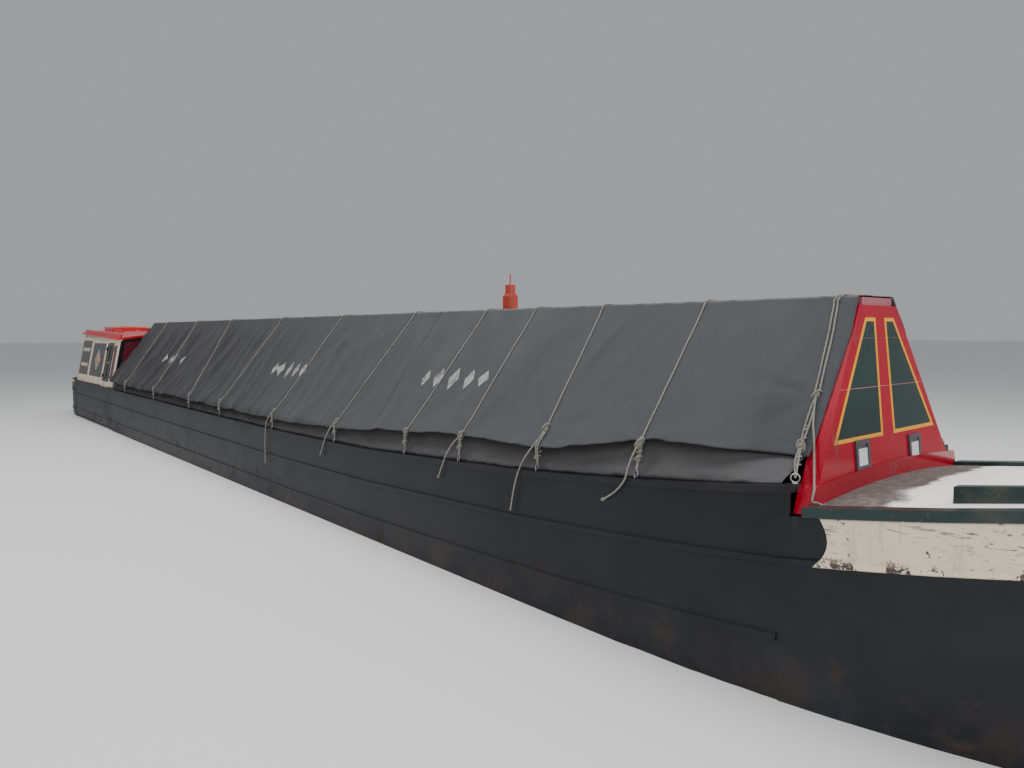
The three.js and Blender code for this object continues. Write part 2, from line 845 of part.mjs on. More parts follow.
// Propeller: a hub with three pitched blades behind the stern tube
const SCREW = { hubR: 50, hubLength: 140, tip: 235, bladeWidth: 130, bladeT: 14, pitch: 0.61 };
const screwX = SHAFT.tubeEnd - GAP - SCREW.hubLength / 2;
const blades = [0, 1, 2].map((i) => {
  const span = SCREW.tip - SCREW.hubR / 2;
  const blade = new THREE.BoxGeometry(SCREW.bladeT, SCREW.bladeWidth, span);
  blade.rotateZ(SCREW.pitch);
  blade.translate(0, 0, SCREW.hubR / 2 + span / 2);
  blade.rotateX((2 * Math.PI * i) / 3);
  return blade.translate(screwX, 0, SHAFT.z);
});
const hub = cylinder(SCREW.hubR, SCREW.hubLength, "x", [screwX, 0, SHAFT.z], 18);
add("propeller", join(hub, ...blades), MATERIAL.bronze);

// Engine: its mass as one plain block in the fore part of the cabin
add("engine_block", box(-7100, -6200, -280, 280, COUNTER.bottom + UXTER_T + GAP, 1420), MATERIAL.engine);

// Cabin: walls that lean in, a cambered roof that rises to the stern, and bulkheads
const EAVE_SLOPE = (CABIN.rearEave - CABIN.frontEave) / (CABIN.front - CABIN.rear);
function sloping(geometry) {
  const shear = new THREE.Matrix4().set(
    1, 0, 0, 0,
    0, 1, 0, 0,
    -EAVE_SLOPE, 0, 1, EAVE_SLOPE * CABIN.front,
    0, 0, 0, 1,
  );
  return geometry.applyMatrix4(shear);
}
function tumbled(geometry) {
  const shear = new THREE.Matrix4().set(
    1, 0, 0, 0,
    0, 1, -CABIN.tumblehome, CABIN.tumblehome * CABIN.footZ,
    0, 0, 1, 0,
    0, 0, 0, 1,
  );
  return geometry.applyMatrix4(shear);
}
const roofYs = spread(-CABIN.roofHalf, CABIN.roofHalf, 18);
const roofUnder = (y) => CABIN.frontEave + CABIN.camber * (1 - (y / CABIN.roofHalf) ** 2);
const roofLine = (offset) => roofYs.map((y) => [y, roofUnder(y) + offset]);
const aboveRoof = (offset) =>
  sloping(
    slab(
      [...roofLine(offset), [1050, CABIN.frontEave + offset - 20], [1050, 2900], [-1050, 2900],
        [-1050, CABIN.frontEave + offset - 20]],
      CABIN.rear - 200,
      CABIN.front + 200,
    ),
  );
const wallCutter = aboveRoof(-GAP);
const HATCH = { half: 330, front: -8630 };
const RUNNER = { inner: 352, outer: 387, height: 42, front: -7830 };
const runner = slab(
  [
    [RUNNER.inner, roofUnder(RUNNER.inner) + 15],
    [RUNNER.outer, roofUnder(RUNNER.outer) + 15],
    [RUNNER.outer, roofUnder(RUNNER.inner) + CABIN.roofT + RUNNER.height],
    [RUNNER.inner, roofUnder(RUNNER.inner) + CABIN.roofT + RUNNER.height],
  ],
  CABIN.roofRear,
  RUNNER.front,
);
const roofPlate = slab(
  [...roofLine(0), ...roofLine(CABIN.roofT).reverse()],
  CABIN.roofRear,
  CABIN.front - GAP,
);
const roofJoined = join(roofPlate, runner, mirrored(runner));
const hatchHole = box(CABIN.roofRear - 10, HATCH.front, -HATCH.half, HATCH.half, 2200, 2700);
add("cabin_roof", sloping(cut(roofJoined, hatchHole)), MATERIAL.roofRed);

// Hatch slide on the runners
const SLIDE = {
  rear: -9400,
  front: -8590,
  half: 400,
  skirt: 7,
  thick: 22,
  camber: 16,
  lipT: 20,
  lipHalf: 268,
  lipDrop: 95,
};
const slideBase = roofUnder(RUNNER.inner) + CABIN.roofT + RUNNER.height + GAP;
const skirtFoot = roofUnder(SLIDE.half) + CABIN.roofT + 8;
const slideOutline = [
  [SLIDE.half - SLIDE.skirt, slideBase],
  [SLIDE.half - SLIDE.skirt, skirtFoot],
  [SLIDE.half, skirtFoot],
  ...arc(SLIDE.half, slideBase + SLIDE.thick, SLIDE.camber, 8).reverse(),
  [-SLIDE.half, skirtFoot],
  [-SLIDE.half + SLIDE.skirt, skirtFoot],
  [-SLIDE.half + SLIDE.skirt, slideBase],
];
const slideTop = slab(slideOutline, SLIDE.rear, SLIDE.front);
const slideLip = box(
  SLIDE.rear,
  SLIDE.rear + SLIDE.lipT,
  -SLIDE.lipHalf,
  SLIDE.lipHalf,
  slideBase - SLIDE.lipDrop,
  slideBase + 5,
);
add("cabin_slide", sloping(join(slideTop, slideLip)), MATERIAL.roofRed);

// Handrails along the roof's edges and the capped chimney collar
const overRoof = cut(aboveRoof(-200), aboveRoof(CABIN.roofT + GAP));
const rail = sloping(box(-9300, -6100, 772, 800, 2300, roofUnder(772) + CABIN.roofT + 58));
addTwins("handrail", cut(rail, overRoof), MATERIAL.roofRed);
const collarTop = roofUnder(560) + CABIN.roofT + 125;
const collar = cylinder(78, 200, "z", [-6750, 560, collarTop - 100], 20);
add("chimney_collar", cut(collar, overRoof), MATERIAL.hull);

// Bulkheads: below the gunwale they fill the hull, above it they stand between the cabin's sides
const innerFoot = CABIN.footHalf - CABIN.wall - GAP;
function cabinBulkhead(x0, x1) {
  const low = slab(hullSection((x0 + x1) / 2, 4, COUNTER.bottom + UXTER_T + GAP), x0, x1);
  const top = 2650;
  const ledge = Math.max(sheer(x0), sheer(x1)) + GAP;
  const belowHalf = gunwaleHalf(x0) + 12 - GUNWALE.width - 8;
  const wallHalf = (z) => innerFoot - CABIN.tumblehome * (z - CABIN.footZ);
  const rightEdge = [
    [belowHalf, 1300],
    [belowHalf, ledge],
    [wallHalf(ledge) - 1, ledge],
    [wallHalf(top), top],
  ];
  const leftEdge = rightEdge.map(([y, z]) => [-y, z]).reverse();
  const high = slab([...rightEdge, ...leftEdge], x0, x1);
  return cut(join(low, high), wallCutter);
}
add(
  "cabin_front_bulkhead",
  cabinBulkhead(CABIN.front - CABIN.wall, CABIN.front - GAP),
  MATERIAL.maroon,
);
const DOORWAY = { half: 280, sill: 1385, doorTop: 2460 };
const doorway = box(
  CABIN.rear - 50,
  CABIN.rear + CABIN.wall + 50,
  -DOORWAY.half,
  DOORWAY.half,
  DOORWAY.sill,
  2900,
);
add(
  "cabin_rear_bulkhead",
  cut(cabinBulkhead(CABIN.rear, CABIN.rear + CABIN.wall), doorway),
  MATERIAL.maroon,
);

// Cabin sides, each with one opening for a pair of side doors
const SIDE_DOOR = { rear: -6970, front: -6400, sill: 1480, head: 2250, leafT: 30, edgeGap: 7 };
const wallXs = [CABIN.rear, ...QUARTER_STATIONS.slice(1, -1), CABIN.front - GAP];
const wall = sidePlate(
  [
    ...wallXs.map((x) => [x, sheer(x) + GAP + 0.1]),
    [CABIN.front - GAP, 2600],
    [CABIN.rear, 2600],
  ],
  CABIN.footHalf - CABIN.wall,
  CABIN.footHalf,
  [
    [
      [SIDE_DOOR.rear, SIDE_DOOR.sill],
      [SIDE_DOOR.front, SIDE_DOOR.sill],
      [SIDE_DOOR.front, SIDE_DOOR.head],
      [SIDE_DOOR.rear, SIDE_DOOR.head],
    ],
  ],
);
addTwins("cabin_side", cut(tumbled(wall), wallCutter), MATERIAL.cream);

// A door leaf seen from its hinge axis: along +x from the hinge, outward along +y and up from z = 0
const HINGE = { proud: 9, barrelR: 8.7, height: 60, reach: 50 };
function doorLeaf(width, height, thick) {
  const leaf = box(
    SIDE_DOOR.edgeGap,
    SIDE_DOOR.edgeGap + width,
    -HINGE.proud - thick,
    -HINGE.proud,
    0,
    height,
  );
  const hinges = [0.14, 0.86].flatMap((share) => {
    const z = share * height;
    const [low, high] = [z - HINGE.height / 2, z + HINGE.height / 2];
    return [
      cylinder(HINGE.barrelR, HINGE.height, "z", [0, 0, z], 16),
      box(0, HINGE.reach, -HINGE.proud + 1, 3, low, high),
      box(SIDE_DOOR.edgeGap + 2, HINGE.reach, -HINGE.proud - 2, -HINGE.proud + 2, low, high),
    ];
  });
  return join(leaf, ...hinges);
}
const turnedBack = (geometry) => mirrored(geometry.clone().rotateZ(Math.PI));
const pairWidth = (opening) => (opening - 3 * SIDE_DOOR.edgeGap) / 2;
const sideLeaf = doorLeaf(
  pairWidth(SIDE_DOOR.front - SIDE_DOOR.rear),
  SIDE_DOOR.head - SIDE_DOOR.sill - 3 * SIDE_DOOR.edgeGap,
  SIDE_DOOR.leafT,
);
const SIDE_LEAVES = [
  { name: "side_door_aft", hingeX: SIDE_DOOR.rear, leaf: sideLeaf },
  { name: "side_door_fore", hingeX: SIDE_DOOR.front, leaf: turnedBack(sideLeaf) },
];
for (const { name, hingeX, leaf } of SIDE_LEAVES) {
  const placed = leaf
    .clone()
    .translate(hingeX, CABIN.footHalf + HINGE.proud, SIDE_DOOR.sill + SIDE_DOOR.edgeGap);
  addTwins(name, tumbled(placed), MATERIAL.panel);
}

// Cabin doors, hinged at the doorway's edges and opening aft
const cabinLeaf = doorLeaf(
  pairWidth(2 * DOORWAY.half),
  DOORWAY.doorTop - DOORWAY.sill - SIDE_DOOR.edgeGap,
  SIDE_DOOR.leafT,
)
  .rotateZ(Math.PI / 2)
  .translate(CABIN.rear - HINGE.proud, -DOORWAY.half, DOORWAY.sill + SIDE_DOOR.edgeGap);
addTwins("cabin_door", mirrored(cabinLeaf), MATERIAL.panel);

// Free tails of six lashings on the starboard side: they lie on the cloth and hang over the
// gunwale
const TAIL_R = 6;
const TAILS = [
  [
    [8027, -584, 2105],
    [8065, -673, 1968],
    [8099, -726, 1887],
    [8131, -781, 1799],
    [8153, -820, 1752],
    [8187, -884, 1704],
    [8210, -925, 1670],
    [8213, -946, 1636],
    [8216, -950, 1614],
    [8230, -928, 1608],
    [8252, -896, 1588],
  ],
  [
    [7166, -971.5, 1819.4],
    [7160, -1042, 1746],
    [7140, -1076, 1650],
    [7115, -1080, 1570],
    [7040, -1080, 1490],
    [6940, -1080, 1425],
  ],
  [
    [6296, -964, 1762],
    [6265, -1040, 1676],
    [6195, -1077, 1560],
    [6120, -1080, 1400],
    [6070, -1080, 1200],
  ],
  [
    [5400, -1004, 1663],
    [5361, -1048, 1605],
    [5310, -1076, 1525],
    [5260, -1080, 1440],
    [5181, -1080, 1300],
  ],
  [
    [3330, -1007, 1582],
    [3300, -1047, 1531.5],
    [3260, -1076, 1455],
    [3200, -1080, 1370],
    [3105, -1080, 1220],
  ],
  [
    [1800, -1006, 1563.6],
    [1780, -1044, 1514.4],
    [1750, -1073, 1440],
    [1715, -1080, 1330],
    [1695, -1080, 1150],
    [1689, -1080, 950],
  ],
];
TAILS.forEach((route, i) => {
  add("lashing_tail_" + (i + 1), tube(route, TAIL_R, 8, 30), MATERIAL.rope);
});

export default boat;
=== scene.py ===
"""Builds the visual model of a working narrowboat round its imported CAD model."""

import json
import math
from collections import namedtuple

import bmesh
import bpy
import numpy as np
from bpy.props import FloatProperty, FloatVectorProperty, PointerProperty
from mathutils import Matrix, Vector, noise
from mathutils.bvhtree import BVHTree


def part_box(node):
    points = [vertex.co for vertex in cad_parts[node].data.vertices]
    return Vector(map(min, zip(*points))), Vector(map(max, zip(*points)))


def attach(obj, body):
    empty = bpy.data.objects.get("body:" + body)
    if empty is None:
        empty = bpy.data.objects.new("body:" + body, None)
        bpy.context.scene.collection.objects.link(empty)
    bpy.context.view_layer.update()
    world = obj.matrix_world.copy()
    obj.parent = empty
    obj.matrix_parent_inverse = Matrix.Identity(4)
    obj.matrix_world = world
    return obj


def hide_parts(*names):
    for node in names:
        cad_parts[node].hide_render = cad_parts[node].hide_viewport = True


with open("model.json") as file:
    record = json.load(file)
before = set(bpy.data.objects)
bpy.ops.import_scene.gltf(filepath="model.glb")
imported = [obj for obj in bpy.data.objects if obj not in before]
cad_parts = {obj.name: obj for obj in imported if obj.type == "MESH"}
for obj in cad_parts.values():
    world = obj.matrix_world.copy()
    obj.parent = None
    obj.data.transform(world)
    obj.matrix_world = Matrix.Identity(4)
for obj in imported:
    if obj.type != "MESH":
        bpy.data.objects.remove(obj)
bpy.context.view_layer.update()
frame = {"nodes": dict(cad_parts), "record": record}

bl_info = {
    "name": "Clothed Narrowboat",
    "version": (1, 0, 0),
    "blender": (4, 5, 0),
    "location": "3D View > Sidebar > Narrowboat",
    "description": "Canvas, ropes, paintwork and fittings of a full-length narrowboat",
    "category": "Object",
}

# How far painted plates and frames reach into the surface below them
BURIED = -0.0005

SIDES = ((1, "port"), (-1, "starboard"))

# Form lines of the boat, in metres
WATERLINE = 0.55
HOLD_STATIONS = (-6.0, -4.0, -2.0, 0.0, 2.0, 4.0, 6.0, 6.5, 7.02, 7.54, 7.76, 7.98, 8.06)
RIDGE_Z = 2.6533
RIDGE_HALF = 0.202
HEM_INSET = 0.020
HEM_RISE = 0.160
CRATCH_LEAN = 0.105
CRATCH_FOOT_X = 8.188
CRATCH_FOOT_Z = 1.668
CRATCH_FOOT_HALF = 0.845
CRATCH_TAPER = 0.605 / 0.9297
WRAP_START = 7.54
WRAP_END = 7.98
WRAP_HEM_Z = 1.800
WRAP_CLEAR = 0.015
CLOTH_FRONT = 8.100
CABIN_FRONT = -6.0
CABIN_REAR = -9.38
CABIN_FOOT_HALF = 1.015
CABIN_FOOT_Z = 1.380
CABIN_LEAN = 0.2
CABIN_EAVE = 2.315
ROOF_RISE = 0.115 / 3.38
MAST_X = 4.8


def sheer_line(x):
    """The gunwale's height as a smooth curve."""
    if x > 1.5:
        return 1.352 + 0.348 * ((x - 1.5) / 6.7) ** 2.4
    return 1.352 + 0.055 * ((1.5 - x) / 12.4) ** 2


def bow_half(x, start, end, full, tip, power):
    """A half-breadth that narrows from full at start to tip at end."""
    if x <= start:
        return full
    share = min((x - start) / (end - start), 1.0)
    return tip + (full - tip) * (1 - share**power)


def gunwale_half_line(x):
    """The half-breadth at the gunwale as a smooth curve."""
    return bow_half(x, 6.9, 10.875, 1.055, 0.042, 2.8)


def on_stations(line):
    """Gives a form line as the straight lengths between the CAD model's stations have it."""
    values = [line(x) for x in HOLD_STATIONS]

    def value(x):
        if x < HOLD_STATIONS[0] or x > HOLD_STATIONS[-1]:
            return line(x)
        return float(np.interp(x, HOLD_STATIONS, values))

    return value


sheer = on_stations(sheer_line)
gunwale_half = on_stations(gunwale_half_line)


def bow_band_top(x):
    """The height of the green bow band's upper edge."""
    return sheer_line(x) - 0.105


def side_half(x, z):
    """The hull's half-breadth at height z."""
    share = min(max(z / bow_band_top(x), 0.0), 1.0)
    low = bow_half(x, 6.5, 10.42, 1.03, 0.036, 2.2)
    return low + (gunwale_half_line(x) - low) * share**0.65


def smooth_step(value, low, high):
    """Rises smoothly from 0 at low to 1 at high."""
    share = min(max((value - low) / (high - low), 0.0), 1.0)
    return share * share * (3 - 2 * share)


def cratch_half(z):
    """The cratch board's half-breadth at height z."""
    return CRATCH_FOOT_HALF - (z - CRATCH_FOOT_Z) * CRATCH_TAPER


def wrapped(x, loose, drawn):
    """Blends from the open cloth to its fore end, which is drawn in round the cratch."""
    return loose + (drawn - loose) * smooth_step(x, WRAP_START, WRAP_END)


# Settings that a user may change
def colour_of(name, default, description):
    """A colour setting."""
    return FloatVectorProperty(
        name=name,
        description=description,
        default=default,
        subtype="COLOR",
        min=0.0,
        max=1.0,
        size=3,
    )


def length_of(name, default, description):
    """A length setting in metres."""
    return FloatProperty(
        name=name,
        description=description,
        default=default,
        unit="LENGTH",
        subtype="DISTANCE",
        min=0.0,
    )


def share_of(name, default, description):
    """A setting between 0 and 1."""
    return FloatProperty(
        name=name,
        description=description,
        default=default,
        subtype="FACTOR",
        min=0.0,
        max=1.0,
    )


class StageSettings(bpy.types.PropertyGroup):
    floor: colour_of("Floor", (0.78, 0.78, 0.77), "Colour of the plain floor")
    lens: FloatProperty(
        name="Lens",
        description="Focal length of the camera in millimetres",
        default=26.086,
        min=5.0,
        max=200.0,
    )
    key: FloatProperty(
        name="Key light",
        description="Power of the main soft light",
        default=2300.0,
        unit="POWER",
        min=0.0,
    )
    sky: share_of("Sky", 0.40, "Brightness of the even light from all round")


class CanvasSettings(bpy.types.PropertyGroup):
    top: colour_of("Top cloths", (0.0570, 0.0590, 0.0660), "Colour of the top cloths")
    # Set lighter than the top cloths as painted light, to lift the shade under their hems.
    side: colour_of("Side cloths", (0.080, 0.078, 0.081), "Colour of the side cloths")
    thickness: length_of("Thickness", 0.003, "Thickness of the canvas")
    sag: length_of("Sag", 0.016, "Depth that the canvas sags between two lashings")
    crease: length_of("Crease", 0.006, "Height of the creases at the lashings")


class RopeSettings(bpy.types.PropertyGroup):
    diameter: length_of("Diameter", 0.012, "Diameter of the lashing ropes")
    lay: length_of("Lay", 0.040, "Length of one full turn of a strand")
    colour: colour_of("Colour", (0.235, 0.222, 0.190), "Colour of the weathered rope")


class PaintSettings(bpy.types.PropertyGroup):
    hull: colour_of("Hull", (0.0080, 0.0084, 0.0120), "Black bitumen of the hull")
    green: colour_of("Green", (0.0105, 0.0270, 0.0255), "Green of the bands and cants")
    red: colour_of("Red", (0.31, 0.0010, 0.0150), "Red of the cratch and the deck beam")
    roof: colour_of("Roof", (0.52, 0.0040, 0.0120), "Red of the cabin roof")
    maroon: colour_of("Maroon", (0.11, 0.009, 0.017), "Maroon of the bulkheads")
    cream: colour_of("Cream", (0.66, 0.57, 0.43), "Cream of the bow panels and cabin sides")
    yellow: colour_of("Yellow", (0.68, 0.29, 0.003), "Yellow of the borders and lines")
    deck: colour_of("Deck", (0.86, 0.81, 0.79), "Faded paint of the foredeck")
    dark: colour_of("Dark panels", (0.0100, 0.0120, 0.0140), "Dark fields on the cabin sides")
    wood: colour_of("Planks", (0.30, 0.135, 0.115), "Worn paint on the planks")


SETTINGS = {
    "boat_stage": StageSettings,
    "boat_canvas": CanvasSettings,
    "boat_ropes": RopeSettings,
    "boat_paint": PaintSettings,
}


# Shader nodes
class Nodes:
    """Adds nodes to one node tree and feeds their sockets with values or with other sockets."""

    def __init__(self, tree):
        self.tree = tree

    def feed(self, socket, value):
        """Links another socket or sets a value. A colour is three numbers."""
        if isinstance(value, bpy.types.NodeSocket):
            self.tree.links.new(value, socket)
        elif value is not None:
            socket.default_value = (*value, 1.0) if socket.type == "RGBA" else value

    def add(self, kind, inputs=None, **choices):
        node = self.tree.nodes.new(kind)
        for name, value in choices.items():
            setattr(node, name, value)
        for key, value in (inputs or {}).items():
            self.feed(node.inputs[key], value)
        return node

    def noise(self, vector, scale, detail=4.0, roughness=0.55):
        inputs = {"Vector": vector, "Scale": scale, "Detail": detail, "Roughness": roughness}
        return self.add("ShaderNodeTexNoise", inputs).outputs["Fac"]

    def stretch(self, vector, amounts, turn=(0.0, 0.0, 0.0)):
        inputs = {"Vector": vector, "Scale": amounts, "Rotation": turn}
        return self.add("ShaderNodeMapping", inputs).outputs["Vector"]

    def ramp(self, value, low, high, to_low=0.0, to_high=1.0):
        inputs = {"Value": value, "From Min": low, "From Max": high}
        inputs.update({"To Min": to_low, "To Max": to_high})
        node = self.add("ShaderNodeMapRange", inputs, interpolation_type="SMOOTHSTEP")
        return node.outputs["Result"]

    def maths(self, operation, first, second=None, third=None):
        node = self.add("ShaderNodeMath", operation=operation)
        for socket, value in zip(node.inputs, (first, second, third)):
            self.feed(socket, value)
        return node.outputs["Value"]

    def times(self, first, second):
        return self.maths("MULTIPLY", first, second)

    def times_plus(self, first, second, third):
        return self.maths("MULTIPLY_ADD", first, second, third)

    def mix(self, share, first, second):
        node = self.add("ShaderNodeMix", data_type="RGBA")
        for index, value in ((0, share), (6, first), (7, second)):
            self.feed(node.inputs[index], value)
        return node.outputs[2]

    def over(self, base, mask, amount, colour):
        """Lays a colour over the base where the mask is, by an amount."""
        return self.mix(self.times(mask, amount), base, colour)

    def covered(self, value, start, fall, cover, soft):
        """Where a noise passes a level that sinks from start as the cover grows."""
        level = self.maths("SUBTRACT", start, self.times(cover, fall))
        return self.ramp(value, level, self.maths("ADD", level, soft))

    def parts(self, vector):
        return self.add("ShaderNodeSeparateXYZ", {"Vector": vector}).outputs

    def group(self, name, inputs):
        return self.add("ShaderNodeGroup", inputs, node_tree=GROUPS[name]).outputs


def shared_group(name, build, inputs, outputs):
    """One shader node group: build gets its nodes and inputs and gives its outputs by name."""
    tree = bpy.data.node_groups.new(name, "ShaderNodeTree")
    for way, words in (("INPUT", inputs), ("OUTPUT", outputs)):
        for word in words:
            kind = "NodeSocketVector" if word == "Vector" else "NodeSocketFloat"
            tree.interface.new_socket(name=word, in_out=way, socket_type=kind)
    nodes = Nodes(tree)
    given = nodes.add("NodeGroupInput").outputs
    result = build(nodes, given)
    end = nodes.add("NodeGroupOutput")
    for word, socket in result.items():
        nodes.feed(end.inputs[word], socket)
    return tree


def build_patches(nodes, given):
    """Cloudy patches with soft or hard edges."""
    cloud = nodes.noise(given["Vector"], given["Scale"], 6.0, 0.6)
    fine = nodes.noise(given["Vector"], nodes.times(given["Scale"], 6.3), 3.0)
    both = nodes.times_plus(fine, 0.28, nodes.times(cloud, 0.86))
    return {"Mask": nodes.covered(both, 0.78, 0.42, given["Cover"], given["Softness"])}


def build_streaks(nodes, given):
    """Drips that run down."""
    tall = nodes.stretch(given["Vector"], (1.0, 1.0, 0.07))
    lines = nodes.noise(tall, given["Scale"], 5.0, 0.7)
    breaks = nodes.noise(given["Vector"], nodes.times(given["Scale"], 0.18), 3.0)
    both = nodes.times(lines, nodes.ramp(breaks, 0.35, 0.62, 0.72, 1.12))
    return {"Mask": nodes.covered(both, 0.74, 0.34, given["Cover"], 0.12)}


def build_scratches(nodes, given):
    """Long thin scrapes along the boat."""
    long = nodes.stretch(given["Vector"], (0.045, 1.0, 1.0), (0.0, 0.035, 0.0))
    lines = nodes.noise(long, given["Scale"], 7.0, 0.75)
    mask = nodes.covered(lines, 0.76, 0.2, given["Cover"], 0.03)
    place = nodes.noise(given["Vector"], 1.7, 2.0)
    return {"Mask": nodes.times(mask, nodes.ramp(place, 0.42, 0.6))}


def build_edges(nodes, given):
    """Rubbed edges: where a rounded normal leaves the true one, broken up by noise."""
    rounded = nodes.add("ShaderNodeBevel", {"Radius": given["Width"]}, samples=4)
    plain = nodes.add("ShaderNodeNewGeometry").outputs["Normal"]
    inputs = {0: rounded.outputs["Normal"], 1: plain}
    dot = nodes.add("ShaderNodeVectorMath", inputs, operation="DOT_PRODUCT").outputs["Value"]
    edge = nodes.ramp(dot, 0.995, 0.86)
    ragged = nodes.noise(given["Vector"], given["Scale"], 6.0, 0.7)
    bitten = nodes.covered(ragged, 0.82, 0.5, given["Cover"], 0.08)
    return {"Mask": nodes.times(edge, bitten)}


def build_weave(nodes, given):
    """Plain weave of warp and weft, with slubs."""
    axes = nodes.parts(given["Vector"])
    warp = nodes.maths("SINE", nodes.times(axes["X"], given["Threads"]))
    weft = nodes.maths("SINE", nodes.times(axes["Y"], given["Threads"]))
    cells = nodes.times(warp, weft)
    slubs = nodes.noise(nodes.stretch(given["Vector"], (9.0, 90.0, 9.0)), 4.0, 3.0)
    return {"Height": cells, "Slub": nodes.ramp(slubs, 0.4, 0.72)}


def build_grain(nodes, given):
    """Wood grain along X."""
    axes = nodes.stretch(given["Vector"], (0.55, 7.0, 7.0))
    swirl = nodes.noise(axes, 2.2, 3.0)
    inputs = {"Vector": axes, "Scale": given["Scale"], "Distortion": 3.2, "Detail": 3.0}
    rings = nodes.add("ShaderNodeTexWave", inputs, bands_direction="Y").outputs["Fac"]
    fine = nodes.noise(nodes.stretch(given["Vector"], (3.0, 160.0, 160.0)), 3.0, 4.0, 0.7)
    grain = nodes.times_plus(swirl, 0.4, nodes.times(rings, 0.45))
    return {"Grain": grain, "Fibre": fine}


# Each shared group: its build function, its inputs and its outputs
GROUP_PLANS = {
    "patches": (build_patches, ("Vector", "Scale", "Cover", "Softness"), ("Mask",)),
    "streaks": (build_streaks, ("Vector", "Scale", "Cover"), ("Mask",)),
    "scratches": (build_scratches, ("Vector", "Scale", "Cover"), ("Mask",)),
    "rubbed_edges": (build_edges, ("Vector", "Scale", "Cover", "Width"), ("Mask",)),
    "canvas_weave": (build_weave, ("Vector", "Threads"), ("Height", "Slub")),
    "wood_grain": (build_grain, ("Vector", "Scale"), ("Grain", "Fibre")),
}
GROUPS = {}
FINISHES = {}


class Finish(Nodes):
    """One material under way: its node tree, its shader and the masks that the groups give."""

    def __init__(self, name):
        material = bpy.data.materials.new(name)
        material.use_nodes = True
        super().__init__(material.node_tree)
        self.shader = self.tree.nodes["Principled BSDF"]
        coordinates = self.add("ShaderNodeTexCoord").outputs
        self.place = coordinates["Object"]
        self.uv = coordinates["UV"]
        FINISHES[name] = material

    def mask(self, name, scale, cover, **more):
        """The mask of one shared group, over the object's own coordinates."""
        inputs = {"Vector": self.place, "Scale": scale, "Cover": cover, **more}
        return self.group(name, inputs)["Mask"]

    def patches(self, scale, cover, softness):
        return self.mask("patches", scale, cover, Softness=softness)

    def streaks(self, scale, cover):
        return self.mask("streaks", scale, cover)

    def scratches(self, scale, cover):
        return self.mask("scratches", scale, cover)

    def edges(self, width, cover, scale=40.0):
        return self.mask("rubbed_edges", scale, cover, Width=width)

    def close(self, colour, roughness, height=None, strength=0.3, distance=0.002):
        """Feeds the shader, with the height as a bump."""
        shader = self.shader.inputs
        self.feed(shader["Base Color"], colour)
        self.feed(shader["Roughness"], roughness)
        if height is not None:
            inputs = {"Strength": strength, "Distance": distance, "Height": height}
            bump = self.add("ShaderNodeBump", inputs)
            self.feed(shader["Normal"], bump.outputs["Normal"])


def shade(colour, amount):
    """The colour made lighter or darker."""
    return [min(max(c * amount, 0.0), 1.0) for c in colour]


def gloss_paint(name, colour, rough, worn, dirt, under=(0.10, 0.08, 0.07), tone=0.18, shine=0.32):
    """Brushed gloss paint: faded clouds, dirt in streaks, rubbed and chipped edges."""
    made = Finish(name)
    cloud = made.noise(made.place, 1.3, 5.0, 0.6)
    cloudy = made.ramp(cloud, 0.3, 0.7)
    base = made.mix(cloudy, shade(colour, 1 - tone), shade(colour, 1 + tone))
    brush = made.noise(made.stretch(made.place, (1.5, 60.0, 60.0)), 6.0, 4.0, 0.65)
    base = made.mix(made.ramp(brush, 0.45, 0.8, 0.0, 0.28), base, shade(colour, 1.22))
    grime = made.patches(2.6, dirt, 0.22)
    drip = made.streaks(11.0, dirt)
    soil = made.maths("MAXIMUM", grime, drip)
    dirty = made.over(base, soil, 0.55, (0.075, 0.062, 0.05))
    chips = made.edges(0.006, worn)
    spots = made.patches(34.0, worn * 0.32, 0.02)
    bare = made.maths("MAXIMUM", chips, spots)
    colour_out = made.mix(bare, dirty, under)
    roughness = made.times_plus(soil, 0.34, rough)
    roughness = made.times_plus(bare, 0.3, roughness)
    height = made.times_plus(brush, 0.25, made.times(bare, -1.0))
    made.shader.inputs["Coat Roughness"].default_value = 0.12
    made.shader.inputs["Coat Weight"].default_value = shine * 0.35
    made.shader.inputs["Specular IOR Level"].default_value = shine
    made.close(colour_out, roughness, height, 0.22, 0.0012)


def hull_paint(name, colour, dust_cover, dust=(0.038, 0.042, 0.056)):
    """Bitumen on steel: a thin dusty film, faint drips and scrapes, and rust near the water."""
    made = Finish(name)
    axes = made.parts(made.place)
    cloud = made.noise(made.place, 0.9, 6.0, 0.6)
    base = made.mix(made.ramp(cloud, 0.32, 0.7), shade(colour, 0.7), shade(colour, 1.5))
    film = made.patches(0.8, dust_cover, 0.35)
    drips = made.streaks(9.0, 0.32)
    dusty = made.over(base, film, 0.5, dust)
    dusty = made.over(dusty, drips, 0.22, dust)
    splash = made.ramp(axes["Z"], WATERLINE + 0.40, WATERLINE + 0.02)
    splashed = made.times(splash, made.patches(3.0, 0.75, 0.25))
    dusty = made.over(dusty, splashed, 0.6, (0.040, 0.030, 0.024))
    scrape = made.scratches(26.0, 0.4)
    low = made.ramp(axes["Z"], WATERLINE + 0.55, WATERLINE + 0.05)
    rust = made.times(made.patches(5.5, 0.30, 0.06), low)
    edge = made.edges(0.008, 0.5, 18.0)
    worn = made.maths("MAXIMUM", rust, made.times(edge, 0.7))
    colour_out = made.over(dusty, scrape, 0.4, shade(dust, 1.6))
    colour_out = made.over(colour_out, worn, 0.5, (0.060, 0.038, 0.026))
    roughness = made.times_plus(film, 0.20, 0.46)
    roughness = made.times_plus(worn, 0.25, roughness)
    lumps = made.noise(made.place, 7.0, 4.0, 0.5)
    fine = made.noise(made.place, 120.0, 3.0, 0.6)
    height = made.times_plus(fine, 0.12, lumps)
    height = made.times_plus(scrape, -0.12, height)
    made.shader.inputs["Specular IOR Level"].default_value = 0.28
    made.close(colour_out, roughness, height, 0.28, 0.006)


